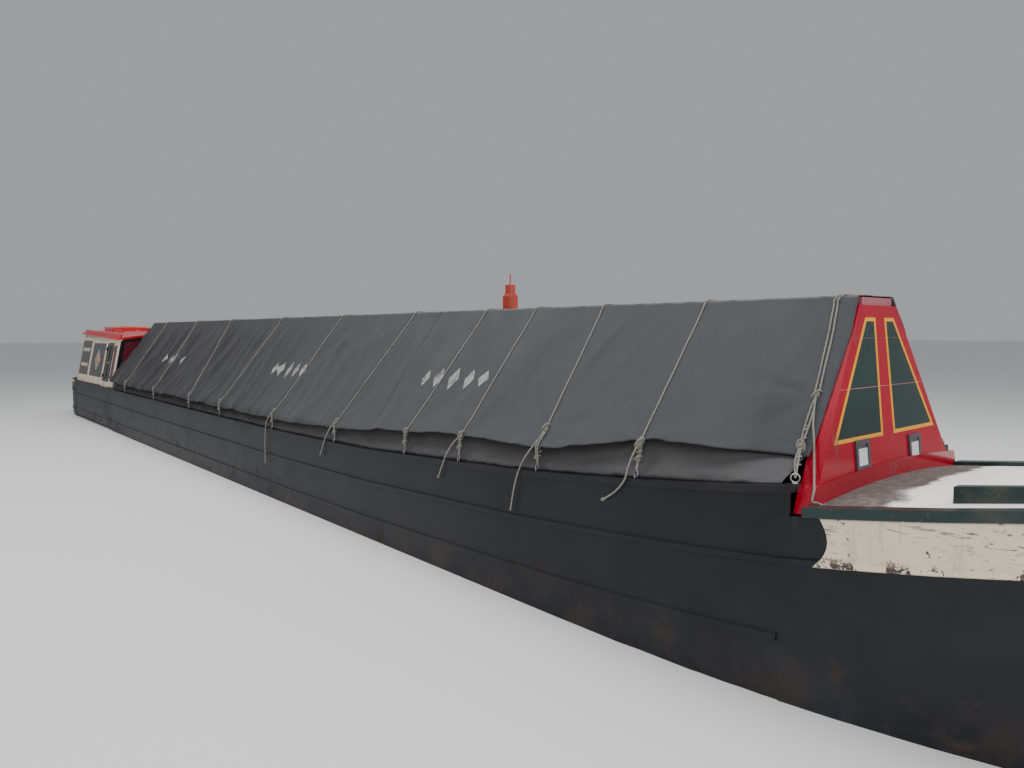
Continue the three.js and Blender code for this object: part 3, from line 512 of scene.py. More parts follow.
def chipped_cream(name, colour):
    """Old cream paint: fine cracks, faint stains, and flakes that gather along its foot."""
    made = Finish(name)
    cloud = made.patches(1.6, 0.55, 0.3)
    base = made.mix(cloud, shade(colour, 1.10), shade(colour, 0.86))
    stain = made.streaks(13.0, 0.5)
    base = made.over(base, stain, 0.30, (0.30, 0.25, 0.19))
    smear = made.patches(4.0, 0.30, 0.25)
    base = made.over(base, smear, 0.30, (0.36, 0.30, 0.22))
    bent = made.noise(made.place, 14.0, 4.0, 0.6)
    shifted = made.add("ShaderNodeVectorMath", {0: made.place, 1: bent}, operation="ADD")
    flat = made.stretch(shifted.outputs["Vector"], (0.5, 1.0, 1.25))
    inputs = {"Vector": flat, "Scale": 15.0}
    cells = made.add("ShaderNodeTexVoronoi", inputs, feature="DISTANCE_TO_EDGE")
    thin = made.ramp(cells.outputs["Distance"], 0.010, 0.0)
    crack = made.times(thin, made.patches(1.9, 0.42, 0.10))
    down = made.parts(made.uv)["Y"]
    foot = made.ramp(down, 0.62, 0.93)
    few = made.maths("MAXIMUM", made.patches(8.5, 0.135, 0.008), made.patches(19.0, 0.10, 0.012))
    many = made.patches(13.0, 0.36, 0.010)
    rim = made.times(made.ramp(down, 0.045, 0.0), made.patches(24.0, 0.85, 0.03))
    flakes = made.maths("MAXIMUM", few, made.times(many, foot))
    split = made.times(made.scratches(52.0, 0.96), 0.9)
    crack = made.maths("MAXIMUM", crack, split)
    bare = made.maths("MAXIMUM", flakes, made.maths("MAXIMUM", rim, crack))
    ground = made.mix(made.patches(40.0, 0.5, 0.1), (0.050, 0.042, 0.038), (0.16, 0.085, 0.05))
    colour_out = made.mix(bare, base, ground)
    roughness = made.times_plus(bare, 0.25, 0.48)
    height = made.times(bare, -1.0)
    made.close(colour_out, roughness, height, 0.5, 0.0012)


def deck_paint(name, colour):
    """Faded deck paint, with a dark strip beside the deck beam: soil, and painted shadow of the cratch
    and beam.
    """
    made = Finish(name)
    axes = made.parts(made.place)
    base = made.mix(made.patches(0.9, 0.5, 0.4), shade(colour, 1.12), shade(colour, 0.92))
    worn = made.times(made.patches(3.4, 0.22, 0.12), 0.55)
    bare = made.mix(worn, base, (0.36, 0.29, 0.27))
    # A dark strip along the deck beam's fore side: soil, and painted shadow of the cratch and beam.
    waver = made.noise(made.place, 3.2, 5.0, 0.6)
    line = made.times_plus(waver, 0.34, axes["X"])
    aft = made.ramp(line, 8.680, 8.610)
    crumbs = made.patches(22.0, 0.55, 0.12)
    soil_and_shadow_tone = made.mix(crumbs, (0.034, 0.027, 0.024), (0.120, 0.090, 0.078))
    soiled_and_shaded = made.over(bare, aft, 0.93, soil_and_shadow_tone)
    grit = made.patches(60.0, 0.22, 0.03)
    colour_out = made.over(soiled_and_shaded, grit, 0.5, (0.06, 0.045, 0.036))
    roughness = made.times_plus(worn, 0.12, 0.72)
    height = made.times_plus(grit, 0.6, made.noise(made.place, 45.0, 5.0, 0.65))
    made.close(colour_out, roughness, height, 0.35, 0.003)


def plank_finish(name, colour):
    """Softwood with thin worn paint."""
    made = Finish(name)
    grain = made.group("wood_grain", {"Vector": made.place, "Scale": 2.0})
    rings = made.ramp(grain["Grain"], 0.2, 0.8)
    wood = made.mix(rings, (0.17, 0.105, 0.065), (0.36, 0.25, 0.16))
    cloudy = made.ramp(made.noise(made.place, 3.0, 5.0), 0.3, 0.7)
    coat = made.mix(cloudy, shade(colour, 0.75), shade(colour, 1.2))
    rubbed = made.patches(6.0, 0.5, 0.08)
    edge = made.edges(0.006, 0.8)
    bare = made.maths("MAXIMUM", rubbed, edge)
    colour_out = made.mix(bare, coat, wood)
    roughness = made.times_plus(bare, 0.25, 0.5)
    height = made.times_plus(grain["Fibre"], 0.5, grain["Grain"])
    made.close(colour_out, roughness, height, 0.35, 0.0015)


def canvas_finish(name, colour, dust, dust_cover, ridge_wear_and_highlight):
    """Proofed canvas: weave, rubbed folds, dried water marks and dust."""
    made = Finish(name)
    weave = made.group("canvas_weave", {"Vector": made.uv, "Threads": 5200.0})
    axes = made.parts(made.place)
    faded = made.patches(0.75, 0.55, 0.4)
    base = made.mix(faded, shade(colour, 0.82), shade(colour, 1.35))
    marks = made.streaks(5.0, 0.5)
    base = made.over(base, marks, 0.3, dust)
    mould = made.patches(3.4, dust_cover, 0.3)
    base = made.over(base, mould, 0.42, dust)
    fleck = made.patches(55.0, 0.18, 0.03)
    base = made.over(base, fleck, 0.22, shade(dust, 1.4))
    slub = made.times(weave["Slub"], 0.22)
    base = made.mix(slub, base, shade(colour, 1.9))
    # Darker towards the stern.
    darker_aft = made.ramp(axes["X"], 5.0, -2.5, 0.0, 0.60)
    base = made.mix(darker_aft, base, (0.0110, 0.0090, 0.0085))
    # Lighter along the ridge's edge: wear, and a painted highlight where light catches the ridge.
    if ridge_wear_and_highlight:
        near = made.ramp(axes["Z"], RIDGE_Z - 0.016, RIDGE_Z - 0.003)
        ragged = made.patches(16.0, 0.72, 0.14)
        worn = made.times(near, ragged)
        base = made.over(base, worn, 0.40, (0.28, 0.26, 0.24))
    wrinkles = made.noise(made.stretch(made.place, (1.0, 1.0, 0.5)), 21.0, 5.0, 0.55)
    height = made.times_plus(weave["Height"], 0.06, wrinkles)
    made.shader.inputs["Sheen Weight"].default_value = 0.05
    made.shader.inputs["Sheen Roughness"].default_value = 0.6
    made.shader.inputs["Specular IOR Level"].default_value = 0.22
    roughness = made.times_plus(mould, 0.1, 0.70)
    made.close(base, roughness, height, 0.3, 0.003)


def stencil_finish(name, colour):
    """Thin white paint on canvas, rubbed off along the weave and the folds."""
    made = Finish(name)
    rubbed = made.patches(9.0, 0.45, 0.15)
    fine = made.patches(70.0, 0.5, 0.08)
    thin = made.maths("MAXIMUM", rubbed, made.times(fine, 0.7))
    base = made.mix(thin, colour, (0.085, 0.082, 0.078))
    height = made.noise(made.place, 240.0, 3.0)
    made.close(base, 0.82, height, 0.3, 0.001)


def rope_finish(name, colour):
    """Weathered laid rope: yarns at the lay's slope, grey tips, and painted shade in the hollows between
    the yarns.
    """
    made = Finish(name)
    axes = made.parts(made.uv)
    along = made.times(axes["X"], 900.0)
    yarns = made.maths("SINE", made.times_plus(axes["Y"], 75.0, along))
    fuzz = made.noise(made.place, 420.0, 3.0, 0.6)
    base = made.mix(made.patches(5.0, 0.5, 0.3), shade(colour, 1.15), shade(colour, 0.62))
    # Painted shade in the hollows between the yarns.
    base = made.mix(made.ramp(yarns, -1.0, 0.6, 0.35, 0.0), base, shade(colour, 0.35))
    base = made.mix(made.ramp(fuzz, 0.5, 0.8, 0.0, 0.5), base, shade(colour, 1.6))
    height = made.times_plus(fuzz, 0.8, yarns)
    made.close(base, 0.9, height, 0.5, 0.0008)


def metal_finish(name, colour, roughness, rust_cover):
    """Bare or galvanised metal with stains."""
    made = Finish(name)
    cloud = made.noise(made.place, 30.0, 5.0, 0.6)
    base = made.mix(made.ramp(cloud, 0.3, 0.7), shade(colour, 0.7), shade(colour, 1.25))
    rust = made.patches(24.0, rust_cover, 0.1)
    colour_out = made.mix(rust, base, (0.13, 0.055, 0.025))
    shine = made.times_plus(rust, -0.9, 0.9)
    made.feed(made.shader.inputs["Metallic"], shine)
    rough_out = made.times_plus(rust, 0.35, roughness)
    height = made.times_plus(rust, 0.6, cloud)
    made.close(colour_out, rough_out, height, 0.3, 0.001)


def floor_finish(name, colour):
    """Plain pale floor with a barely visible cloudiness."""
    made = Finish(name)
    cloud = made.noise(made.place, 0.35, 3.0)
    colour_out = made.mix(cloud, shade(colour, 0.985), shade(colour, 1.0))
    made.close(colour_out, 0.82)


# Meshes
def quads(count, width, wrap=False, closed=False):
    """Faces between rows of points: count gaps of width points. wrap joins each row's ends."""
    rows = count if closed else count + 1
    across = width if wrap else width - 1
    faces = []
    for i in range(count):
        a, b = i * width, (i + 1) % rows * width
        for k in range(across):
            m = (k + 1) % width
            faces.append([a + k, a + m, b + m, b + k])
    return faces


def axes_about(direction):
    """A unit direction and two unit vectors square to it."""
    along = Vector(direction).normalized()
    side = along.orthogonal().normalized()
    return along, side, along.cross(side)


def spoke(side, up, angle):
    """The unit vector at an angle from side towards up."""
    return side * math.cos(angle) + up * math.sin(angle)


class Shape:
    """Gathers the points and faces of one piece. Each face has a finish number."""

    def __init__(self):
        self.points = []
        self.faces = []
        self.finishes = []
        self.smooth = []
        self.uvs = []

    def add(self, points, faces, finish=0, smooth=False, uvs=None):
        start = len(self.points)
        self.points.extend(tuple(p) for p in points)
        self.uvs.extend(uvs if uvs is not None else [(p[0], p[2]) for p in points])
        for face in faces:
            self.faces.append(tuple(start + i for i in face))
            self.finishes.append(finish)
            self.smooth.append(smooth)

    def block(self, low, high, chamfer):
        """A block with chamfered edges. Each corner has three points, one for each axis."""
        points = []
        for signs in np.ndindex(2, 2, 2):
            for axis in range(3):
                corner = [(low, high)[s][i] for i, s in enumerate(signs)]
                for other in range(3):
                    if other != axis:
                        corner[other] += chamfer * (1 - 2 * signs[other])
                points.append(corner)
        faces = []
        strides = (12, 6, 3)
        for axis, far in enumerate(strides):
            first, second = (i for i in range(3) if i != axis)
            across, up = strides[first], strides[second]
            for a in (axis, axis + far):
                faces.append([a, a + across, a + across + up, a + up])
            for edge in (0, up, across, across + up):
                a, b = edge + first, edge + second
                faces.append([a, a + far, b + far, b])
        faces += [[a, a + 1, a + 2] for a in range(0, 24, 3)]
        self.add(points, faces)

    def plate(self, outline, place, thick, chamfer, finish):
        """A flat plate over an outline of (u, v). place(u, v, out) gives its points."""
        count = len(outline)
        centre = Vector((sum(p[0] for p in outline), sum(p[1] for p in outline))) / count
        inner = []
        for u, v in outline:
            pull = Vector((u, v)) - centre
            pull -= pull.normalized() * chamfer
            inner.append(centre + pull)
        points = [place(u, v, BURIED) for u, v in outline]
        points += [place(u, v, thick - chamfer) for u, v in outline]
        points += [place(u, v, thick) for u, v in inner]
        faces = [list(range(count)), list(range(2 * count, 3 * count))]
        for ring in (0, count):
            for i in range(count):
                j = (i + 1) % count
                faces.append([ring + i, ring + j, ring + count + j, ring + count + i])
        self.add(points, faces, finish)

    def border(self, outer, inner, place, thick, finish, closed=True):
        """A flat frame between two outlines, or a flat strip between two open lines."""
        count = len(outer)
        points = []
        for out in (BURIED, thick):
            points += [place(u, v, out) for u, v in outer]
            points += [place(u, v, out) for u, v in inner]
        ends = () if closed else (0, count - 1)
        faces = [[i, count + i, 3 * count + i, 2 * count + i] for i in ends]
        for i in range(count if closed else count - 1):
            j = (i + 1) % count
            for a, b in ((2, 3), (0, 2), (1, 3), (0, 1)):
                faces.append([a * count + i, a * count + j, b * count + j, b * count + i])
        self.add(points, faces, finish)

    def tube(self, path, radius, sides, finish, closed=False, twist=0.0, lobes=0):
        """A round bar along a path, or one with lobes that twist round it like strands."""
        path = [Vector(p) for p in path]
        count = len(path)
        points = []
        uvs = []
        side = None
        run = 0.0
        for i, point in enumerate(path):
            ahead = path[(i + 1) % count] if closed or i + 1 < count else path[i]
            behind = path[i - 1] if closed or i > 0 else path[i]
            along = (ahead - behind).normalized()
            if side is None:
                side = along.orthogonal().normalized()
            side = (side - along * side.dot(along)).normalized()
            up = along.cross(side)
            if i > 0:
                run += (point - path[i - 1]).length
            for k in range(sides):
                angle = 2 * math.pi * k / sides
                reach = radius
                if lobes:
                    wave = math.cos(lobes * (angle - 2 * math.pi * twist * run))
                    reach *= 0.90 + 0.13 * wave - 0.03 * wave * wave
                points.append(point + spoke(side, up, angle) * reach)
                uvs.append((run, k / sides))
        faces = quads(count if closed else count - 1, sides, True, closed)
        if not closed:
            faces.append(list(range(sides)))
            faces.append([(count - 1) * sides + k for k in range(sides)])
        self.add(points, faces, finish, True, uvs)

    def turned(self, profile, centre, axis=(0, 0, 1), sides=20, finish=0):
        """A round piece from a profile of (radius, height) along an axis."""
        along, side, up = axes_about(axis)
        centre = Vector(centre)
        points = []
        for radius, height in profile:
            for k in range(sides):
                arm = spoke(side, up, 2 * math.pi * k / sides)
                points.append(centre + arm * radius + along * height)
        faces = quads(len(profile) - 1, sides, True)
        faces.append(list(range(sides)))
        faces.append([(len(profile) - 1) * sides + k for k in range(sides)])
        self.add(points, faces, finish, True)

    def ring(self, centre, axis, radius, wire, finish, steps):
        """A closed ring of round wire."""
        _, side, up = axes_about(axis)
        arms = [spoke(side, up, 2 * math.pi * i / steps) for i in range(steps)]
        self.tube([Vector(centre) + arm * radius for arm in arms], wire, 8, finish, closed=True)

    def piece(self, name, body, slot, finishes, mend=True):
        """Makes the object, gives it its finishes and lets it ride on its body."""
        mesh = bpy.data.meshes.new(name)
        mesh.from_pydata([tuple(p) for p in self.points], [], self.faces)
        mesh.update()
        layer = mesh.uv_layers.new(name="lay")
        for loop in mesh.loops:
            layer.data[loop.index].uv = self.uvs[loop.vertex_index]
        for polygon, finish, smooth in zip(mesh.polygons, self.finishes, self.smooth):
            polygon.material_index = finish
            polygon.use_smooth = smooth
        for finish in finishes:
            mesh.materials.append(FINISHES[finish])
        if mend:
            work = bmesh.new()
            work.from_mesh(mesh)
            bmesh.ops.recalc_face_normals(work, faces=work.faces)
            work.to_mesh(mesh)
            work.free()
        mesh.validate()
        made = bpy.data.objects.new(name, mesh)
        bpy.context.scene.collection.objects.link(made)
        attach(made, body)
        return made


def smooth_path(points, step):
    """Even points along a smooth curve through the given ones."""
    points = [Vector(p) for p in points]
    ends = [2 * points[0] - points[1], *points, 2 * points[-1] - points[-2]]
    dense = []
    for i in range(1, len(ends) - 2):
        a, b, c, d = ends[i - 1 : i + 3]
        parts = max(int((c - b).length / step * 3), 2)
        for k in range(parts):
            t = k / parts
            curve = 2 * b + (c - a) * t + (2 * a - 5 * b + 4 * c - d) * t * t
            dense.append(0.5 * (curve + (3 * b - a - 3 * c + d) * t**3))
    dense.append(points[-1])
    steps = [(q - p).length for p, q in zip(dense, dense[1:])]
    total = sum(steps)
    count = max(int(round(total / step)), 2)
    marks = np.linspace(0, total, count + 1)
    runs = np.concatenate([[0], np.cumsum(steps)])
    rows = np.array([tuple(p) for p in dense])
    columns = [np.interp(marks, runs, rows[:, i]) for i in range(3)]
    return [Vector(p) for p in zip(*columns)]


# Turns of the strands for each metre of rope in a knot
KNOT_TWIST = 1 / 0.05
# Finish numbers in the pieces made of rope and rings
ROPE, STEEL = range(2)


def laid_rope(shape, points, diameter, step=0.007):
    """Three-strand rope along a smooth curve. Gives the curve's points."""
    path = smooth_path(points, step)
    lay = bpy.context.scene.boat_ropes.lay
    shape.tube(path, diameter / 2, 9, ROPE, twist=1 / (3 * lay), lobes=3)
    return path


def hitch(shape, centre, along, diameter, turns, spread=0.011):
    """A knot: turns of rope round the standing part, with one crossing turn over them."""
    along, side, up = axes_about(along)
    centre = Vector(centre)
    radius = diameter * 1.05
    path = []
    steps = int(turns * 14)
    for i in range(steps + 1):
        angle = 2 * math.pi * turns * i / steps
        shift = (i / steps - 0.5) * turns * spread
        path.append(centre + along * shift + spoke(side, up, angle) * radius)
    shape.tube(path, diameter * 0.48, 8, ROPE, twist=KNOT_TWIST, lobes=3)
    across = []
    for i in range(14):
        angle = 2 * math.pi * i / 14
        lift = along * math.sin(angle + 0.6) * turns * spread * 0.7
        across.append(centre + spoke(side, up, angle) * (radius + diameter * 0.72) + lift)
    shape.tube(across, diameter * 0.45, 8, ROPE, closed=True, twist=KNOT_TWIST, lobes=3)


# Stage
CAMERA_PLACE = (10.0, -4.40, 2.45)
# Yaw from the boat's length, pitch downward and roll, in degrees
CAMERA_ANGLES = (40.348, 3.997, -0.141)
SENSOR_WIDTH = 36.0
FLOOR_REACH = 160.0
# Each light: its name, place, target, size and share of the key light's power
LIGHTS = (
    ("overhead", (2.0, -2.0, 14.0), (1.0, 0.0, 1.0), (24.0, 10.0), 1.0),
    ("front_side", (16.0, -12.0, 9.0), (5.0, 0.0, 1.5), (8.0, 8.0), 0.55),
    ("bow_side", (17.0, 7.0, 7.0), (8.0, 0.0, 1.8), (6.0, 6.0), 0.35),
)


def aim_camera(lens):
    """The photograph's camera, as solved from its vanishing points."""
    yaw, pitch, roll = (math.radians(angle) for angle in CAMERA_ANGLES)
    forward = Vector(
        (-math.cos(yaw) * math.cos(pitch), math.sin(yaw) * math.cos(pitch), -math.sin(pitch))
    )
    right = forward.cross(Vector((0, 0, 1))).normalized()
    up = right.cross(forward)
    tilted = right * math.cos(roll) + up * math.sin(roll)
    raised = tilted.cross(forward)
    data = bpy.data.cameras.new("photo_camera")
    data.lens = lens
    data.sensor_width = SENSOR_WIDTH
    data.clip_end = 400.0
    camera = bpy.data.objects.new("photo_camera", data)
    turn = Matrix((tilted, raised, -forward)).transposed().to_4x4()
    camera.matrix_world = Matrix.Translation(CAMERA_PLACE) @ turn
    bpy.context.scene.collection.objects.link(camera)
    bpy.context.scene.camera = camera


def soft_light(name, place, target, size, power):
    """One oblong area light."""
    data = bpy.data.lights.new(name, "AREA")
    data.shape = "RECTANGLE"
    data.size, data.size_y = size
    data.energy = power
    light = bpy.data.objects.new(name, data)
    aim = Vector(target) - Vector(place)
    light.matrix_world = Matrix.Translation(place) @ aim.to_track_quat("-Z", "Y").to_matrix().to_4x4()
    bpy.context.scene.collection.objects.link(light)


def build_stage():
    """The camera, the floor at the waterline, the even sky and three soft lights."""
    look = bpy.context.scene.boat_stage
    aim_camera(look.lens)
    floor_finish("floor", look.floor)
    mesh = bpy.data.meshes.new("studio_floor")
    corners = [(x * FLOOR_REACH, y * FLOOR_REACH) for x, y in ((-1, -1), (1, -1), (1, 1), (-1, 1))]
    mesh.from_pydata([(x, y, WATERLINE) for x, y in corners], [], [(0, 1, 2, 3)])
    mesh.materials.append(FINISHES["floor"])
    floor = bpy.data.objects.new("studio_floor", mesh)
    bpy.context.scene.collection.objects.link(floor)
    world = bpy.data.worlds.new("studio")
    world.use_nodes = True
    sky = world.node_tree.nodes["Background"].inputs
    sky["Color"].default_value = (0.95, 0.97, 1.0, 1.0)
    sky["Strength"].default_value = look.sky
    bpy.context.scene.world = world
    for name, place, target, size, share in LIGHTS:
        soft_light(name, place, target, size, look.key * share)


# Free rope tails, on the routes of their CAD solids
TAIL_ROUTES = (
    (
        (8.027, -0.584, 2.105), (8.065, -0.673, 1.968), (8.099, -0.726, 1.887), (8.131, -0.781, 1.799),
        (8.153, -0.820, 1.752), (8.187, -0.884, 1.704), (8.210, -0.925, 1.670), (8.213, -0.946, 1.636),
        (8.216, -0.950, 1.614), (8.230, -0.928, 1.608), (8.252, -0.896, 1.588),
    ),
    (
        (7.166, -0.9715, 1.8194), (7.160, -1.042, 1.746), (7.140, -1.076, 1.650), (7.115, -1.080, 1.570),
        (7.040, -1.080, 1.490), (6.940, -1.080, 1.425),
    ),
    (
        (6.296, -0.964, 1.762), (6.265, -1.040, 1.676), (6.195, -1.077, 1.560), (6.120, -1.080, 1.400),
        (6.070, -1.080, 1.200),
    ),
    (
        (5.400, -1.004, 1.663), (5.361, -1.048, 1.605), (5.310, -1.076, 1.525), (5.260, -1.080, 1.440),
        (5.181, -1.080, 1.300),
    ),
    (
        (3.330, -1.007, 1.582), (3.300, -1.047, 1.5315), (3.260, -1.076, 1.455), (3.200, -1.080, 1.370),
        (3.105, -1.080, 1.220),
    ),
    (
        (1.800, -1.006, 1.5636), (1.780, -1.044, 1.5144), (1.750, -1.076, 1.440), (1.715, -1.080, 1.330),
        (1.695, -1.080, 1.150), (1.689, -1.080, 0.950),
    ),
)


def build_tails():
    """The free rope ends, each with the knot at its end."""
    look = bpy.context.scene.boat_ropes
    rope_finish("rope", look.colour)
    for number, route in enumerate(TAIL_ROUTES, 1):
        name = f"lashing_tail_{number}"
        shape = Shape()
        path = laid_rope(shape, route, look.diameter, step=0.0045)
        tail = shape.piece(f"{name}_rope", "boat", "rope", ["rope"])
        knot = Shape()
        hitch(knot, path[-3], path[-1] - path[-8], look.diameter * 0.46, 1.5, 0.007)
        end_knot = knot.piece(f"{name}_knot", "boat", "rope", ["rope"])
        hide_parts(name)


# Canvas
Lashing = namedtuple("Lashing", "ridge foot knot")
# x at the ridge, x at the starboard ring and the knot's share of the slope. The first is double.
LASHINGS = (
    Lashing(7.965, 8.062, 0.635),
    Lashing(7.06, 7.166, 0.95),
    Lashing(6.14, 6.296, 0.87),
    Lashing(5.39, 5.400, 0.96),
    Lashing(4.73, 4.62, 0.97),
    Lashing(3.55, 3.33, 0.96),
    Lashing(1.98, 1.80, 0.96),
    Lashing(0.25, 0.07, 0.97),
    Lashing(-1.71, -1.20, 0.96),
    Lashing(-3.33, -3.02, 0.97),
    Lashing(-5.10, -4.90, 0.97),
)
HEM_X = (-6.0, -4.5, -2.0, 0.0, 2.47, 3.17, 4.15, 4.96, 5.86, 6.49, 6.76, 7.01, 7.24, 7.59, 7.84, 8.1)
HEM_UP = (
    0.130, 0.118, 0.130, 0.120, 0.118, 0.132, 0.176, 0.196, 0.182, 0.155, 0.175, 0.218, 0.236,
    0.200, 0.145, 0.142,
)
TOP_SPANS = {"fore": (4.004, CLOTH_FRONT), "mid": (-1.996, 4.000), "aft": (-5.982, -2.000)}


def hem_rise(x, side):
    """How far the hem hangs above the gunwale. The port side is a little calmer."""
    rise = float(np.interp(x, HEM_X, HEM_UP))
    if side > 0:
        rise = 0.15 + (float(np.interp(x + 0.45, HEM_X, HEM_UP)) - 0.15) * 0.6
    rise += 0.006 * math.sin(5.1 * x + side)
    return wrapped(x, rise, WRAP_HEM_Z - sheer(min(x, HOLD_STATIONS[-1])))


def slope_ends(x):
    """The ridge's edge and the CAD hem, as (half-breadth, height)."""
    ridge_y = wrapped(x, RIDGE_HALF, cratch_half(RIDGE_Z) + WRAP_CLEAR)
    hem_y = wrapped(x, gunwale_half(x) - HEM_INSET, cratch_half(WRAP_HEM_Z) + WRAP_CLEAR)
    return (ridge_y, RIDGE_Z), (hem_y, wrapped(x, sheer(x) + HEM_RISE, WRAP_HEM_Z))


def slope_run(x):
    """The straight length from the ridge's edge to the CAD hem."""
    (ridge_y, ridge_z), (hem_y, hem_z) = slope_ends(x)
    return math.hypot(hem_y - ridge_y, ridge_z - hem_z)


def lashing_x(lashing, side, share):
    """x of a lashing at a share of the slope, as it slants from ridge to ring."""
    foot = lashing.foot if side < 0 else 2 * lashing.ridge - lashing.foot
    return lashing.ridge + (foot - lashing.ridge) * share


def fold_height(x, side, share):
    """Long soft folds that slant down the slope, with sharper crests than hollows."""
    height = 0.0
    slack = 0.40 + 0.90 * smooth_step(-x, -4.5, 1.5)
    families = (
        (0.62, 1.15, 0.013, 3.0),
        (-0.40, 1.9, 0.008, 8.0),
        (0.16, 2.5, 0.034 * slack, 5.0),
        (-0.14, 4.3, 0.013 * slack, 11.0),
    )
    for slope, pitch, deep, seed in families:
        line = (x + side * 0.4 + slope * share) * pitch
        bend = noise.noise(Vector((line * 0.7, share * 0.9, seed)))
        wave = noise.noise(Vector((line + bend * 0.8, share * 0.55 + seed, side * 4.0 + seed)))
        crest = 1.0 - abs(wave) * 3.4
        height += deep * (max(crest, 0.0) ** 2 - 0.28)
    return height


def canvas_relief(x, side, share):
    """How far the canvas stands off the straight slope: sag, fans of creases, rope grooves."""
    look = bpy.context.scene.boat_canvas
    relief = -0.003
    lines = [lashing_x(lashing, side, share) for lashing in LASHINGS]
    gaps = sorted(lines)
    index = int(np.searchsorted(gaps, x))
    low = gaps[index - 1] if index > 0 else gaps[0] - 1.0
    high = gaps[index] if index < len(gaps) else gaps[-1] + 0.6
    place = (x - low) / max(high - low, 0.05)
    belly = math.sin(math.pi * min(max(place, 0), 1)) * math.sin(math.pi * min(share, 1))
    relief -= look.sag * belly
    calm = 1.0
    for number, (lashing, line) in enumerate(zip(LASHINGS, lines)):
        off = x - line
        calm -= 0.85 * math.exp(-((off / 0.10) ** 2))
        if abs(off) > 1.3:
            continue
        pressed = math.exp(-((off / 0.045) ** 2)) * smooth_step(share, -0.05, 0.12)
        relief -= 0.007 * pressed
        up = (lashing.knot - share) * 1.35
        reach = math.hypot(off, up)
        angle = math.atan2(off, up + 1e-6)
        fan = math.sin(angle * 6.0 + number * 1.7) + 0.5 * math.sin(angle * 11.0 + number)
        relief += look.crease * fan * math.exp(-reach / 0.42) * smooth_step(reach, 0.03, 0.2)
    cloud = Vector((x * 0.9 + side * 9.0, share * 1.1, 2.0))
    relief += 0.010 * noise.noise(cloud)
    relief += fold_height(x, side, share) * max(calm, 0.1) * smooth_step(share, 0.0, 0.3)
    fine = Vector(((x - share * 0.7) * 9.0, share * 4.5, side * 3.0))
    relief += 0.0024 * noise.noise(fine)
    relief += 0.0022 * smooth_step(share, 0.955, 0.965)
    low_part = smooth_step(share, 0.78, 1.0)
    relief += low_part * 0.013 * (0.35 + math.sin(math.pi * min(max(place, 0), 1)))
    flutter = noise.noise(Vector((x * 4.2, side * 4.0, 1.0)))
    relief += low_part * 0.012 * flutter
    return relief * smooth_step(share, -0.02, 0.05)


def behind_cratch(point):
    """Draws the fore edge back so that it lies flush with the leaning cratch board."""
    share = smooth_step(point.x, 7.85, CLOTH_FRONT)
    board = CRATCH_FOOT_X - CRATCH_LEAN * (point.z - CRATCH_FOOT_Z) - 0.006
    point.x -= max(CLOTH_FRONT - board, 0.0) * share
    return point


def canvas_point(x, side, girth):
    """A point of the top canvas. girth runs from 0 at the middle of the ridge to 1 at the hem."""
    (ridge_y, ridge_z), (hem_y, hem_z) = slope_ends(x)
    run = slope_run(x)
    along = girth * canvas_girth(x, side)
    if along <= ridge_y:
        near = smooth_step(along, ridge_y - 0.03, ridge_y)
        waver = 0.0016 * noise.noise(Vector((x * 5.0, along * 8.0 * side, 0.5)))
        return behind_cratch(Vector((x, side * along, ridge_z - 0.0015 - 0.0015 * near + waver)))
    share = (along - ridge_y) / run
    out_y = (ridge_z - hem_z) / run
    out_z = (hem_y - ridge_y) / run
    relief = canvas_relief(x, side, share)
    y = ridge_y + (hem_y - ridge_y) * min(share, 1.0) + out_y * relief
    z = ridge_z - (ridge_z - hem_z) * share + out_z * relief
    ease = math.exp(-(((along - ridge_y) / 0.02) ** 2))
    return behind_cratch(Vector((x, side * y, z - 0.002 * ease)))


def canvas_girth(x, side):
    """The length of cloth from the middle of the ridge to the hem."""
    (ridge_y, ridge_z), (_, hem_z) = slope_ends(x)
    drop = (ridge_z - sheer(x) - hem_rise(x, side)) / (ridge_z - hem_z)
    return ridge_y + slope_run(x) * drop


def ridge_girths(x, side):
    """Shares of the girth for one side: close together at the ridge's edge and the hem."""
    whole = canvas_girth(x, side)
    edge = slope_ends(x)[0][0] / whole
    flat = [0.0, 0.03 / whole, 0.0592 / whole, 0.09 / whole, 0.135 / whole, edge - 0.018 / whole]
    turn = [edge - 0.008 / whole, edge, edge + 0.008 / whole, edge + 0.02 / whole]
    slope = list(np.linspace(edge + 0.045 / whole, 1 - 0.045 / whole, CANVAS_ROWS))
    return flat + turn + slope + [1 - 0.034 / whole, 1 - 0.012 / whole, 1.0]


CANVAS_ROWS = 44
MAST_GAP = 0.0595


def mast_gap(x, y):
    """Whether a point of the fore cloth lies in the hole for the mast."""
    return abs(x - MAST_X) < MAST_GAP and abs(y) < MAST_GAP


def build_top_cloth(name, span, step):
    """One top cloth from hem to hem, with rows of points every step along the boat."""
    shape = Shape()
    xs = list(np.linspace(*span, int((span[1] - span[0]) / step) + 1))
    if name == "fore":
        edges = (MAST_X - MAST_GAP, MAST_X - 0.05, MAST_X + 0.05, MAST_X + MAST_GAP)
        xs = sorted([x for x in xs if abs(x - MAST_X) > 0.065] + list(edges) + [MAST_X])
    points = []
    uvs = []
    for x in xs:
        row = []
        for side in (1, -1):
            girths = ridge_girths(x, side)
            line = [canvas_point(x, side, g) for g in girths]
            whole = canvas_girth(x, side)
            keyed = [(p, (x, side * g * whole)) for p, g in zip(line, girths)]
            row += keyed[::-1] if side > 0 else keyed[1:]
        points += [p for p, _ in row]
        uvs += [uv for _, uv in row]
    faces = []
    for face in quads(len(xs) - 1, len(points) // len(xs)):
        centre = sum((points[v] for v in face), Vector()) / 4
        if not (name == "fore" and mast_gap(centre.x, centre.y)):
            faces.append(face)
    shape.add(points, faces, 0, True, uvs)
    cloth = shape.piece(f"top_canvas_{name}", "boat", "top_canvas", ["top_canvas"], mend=False)
    thicken(cloth)
    middle = sum(span) / 2
    across = canvas_girth(middle, 1) + canvas_girth(middle, -1)
    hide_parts(f"top_cloth_{name}")
    return cloth


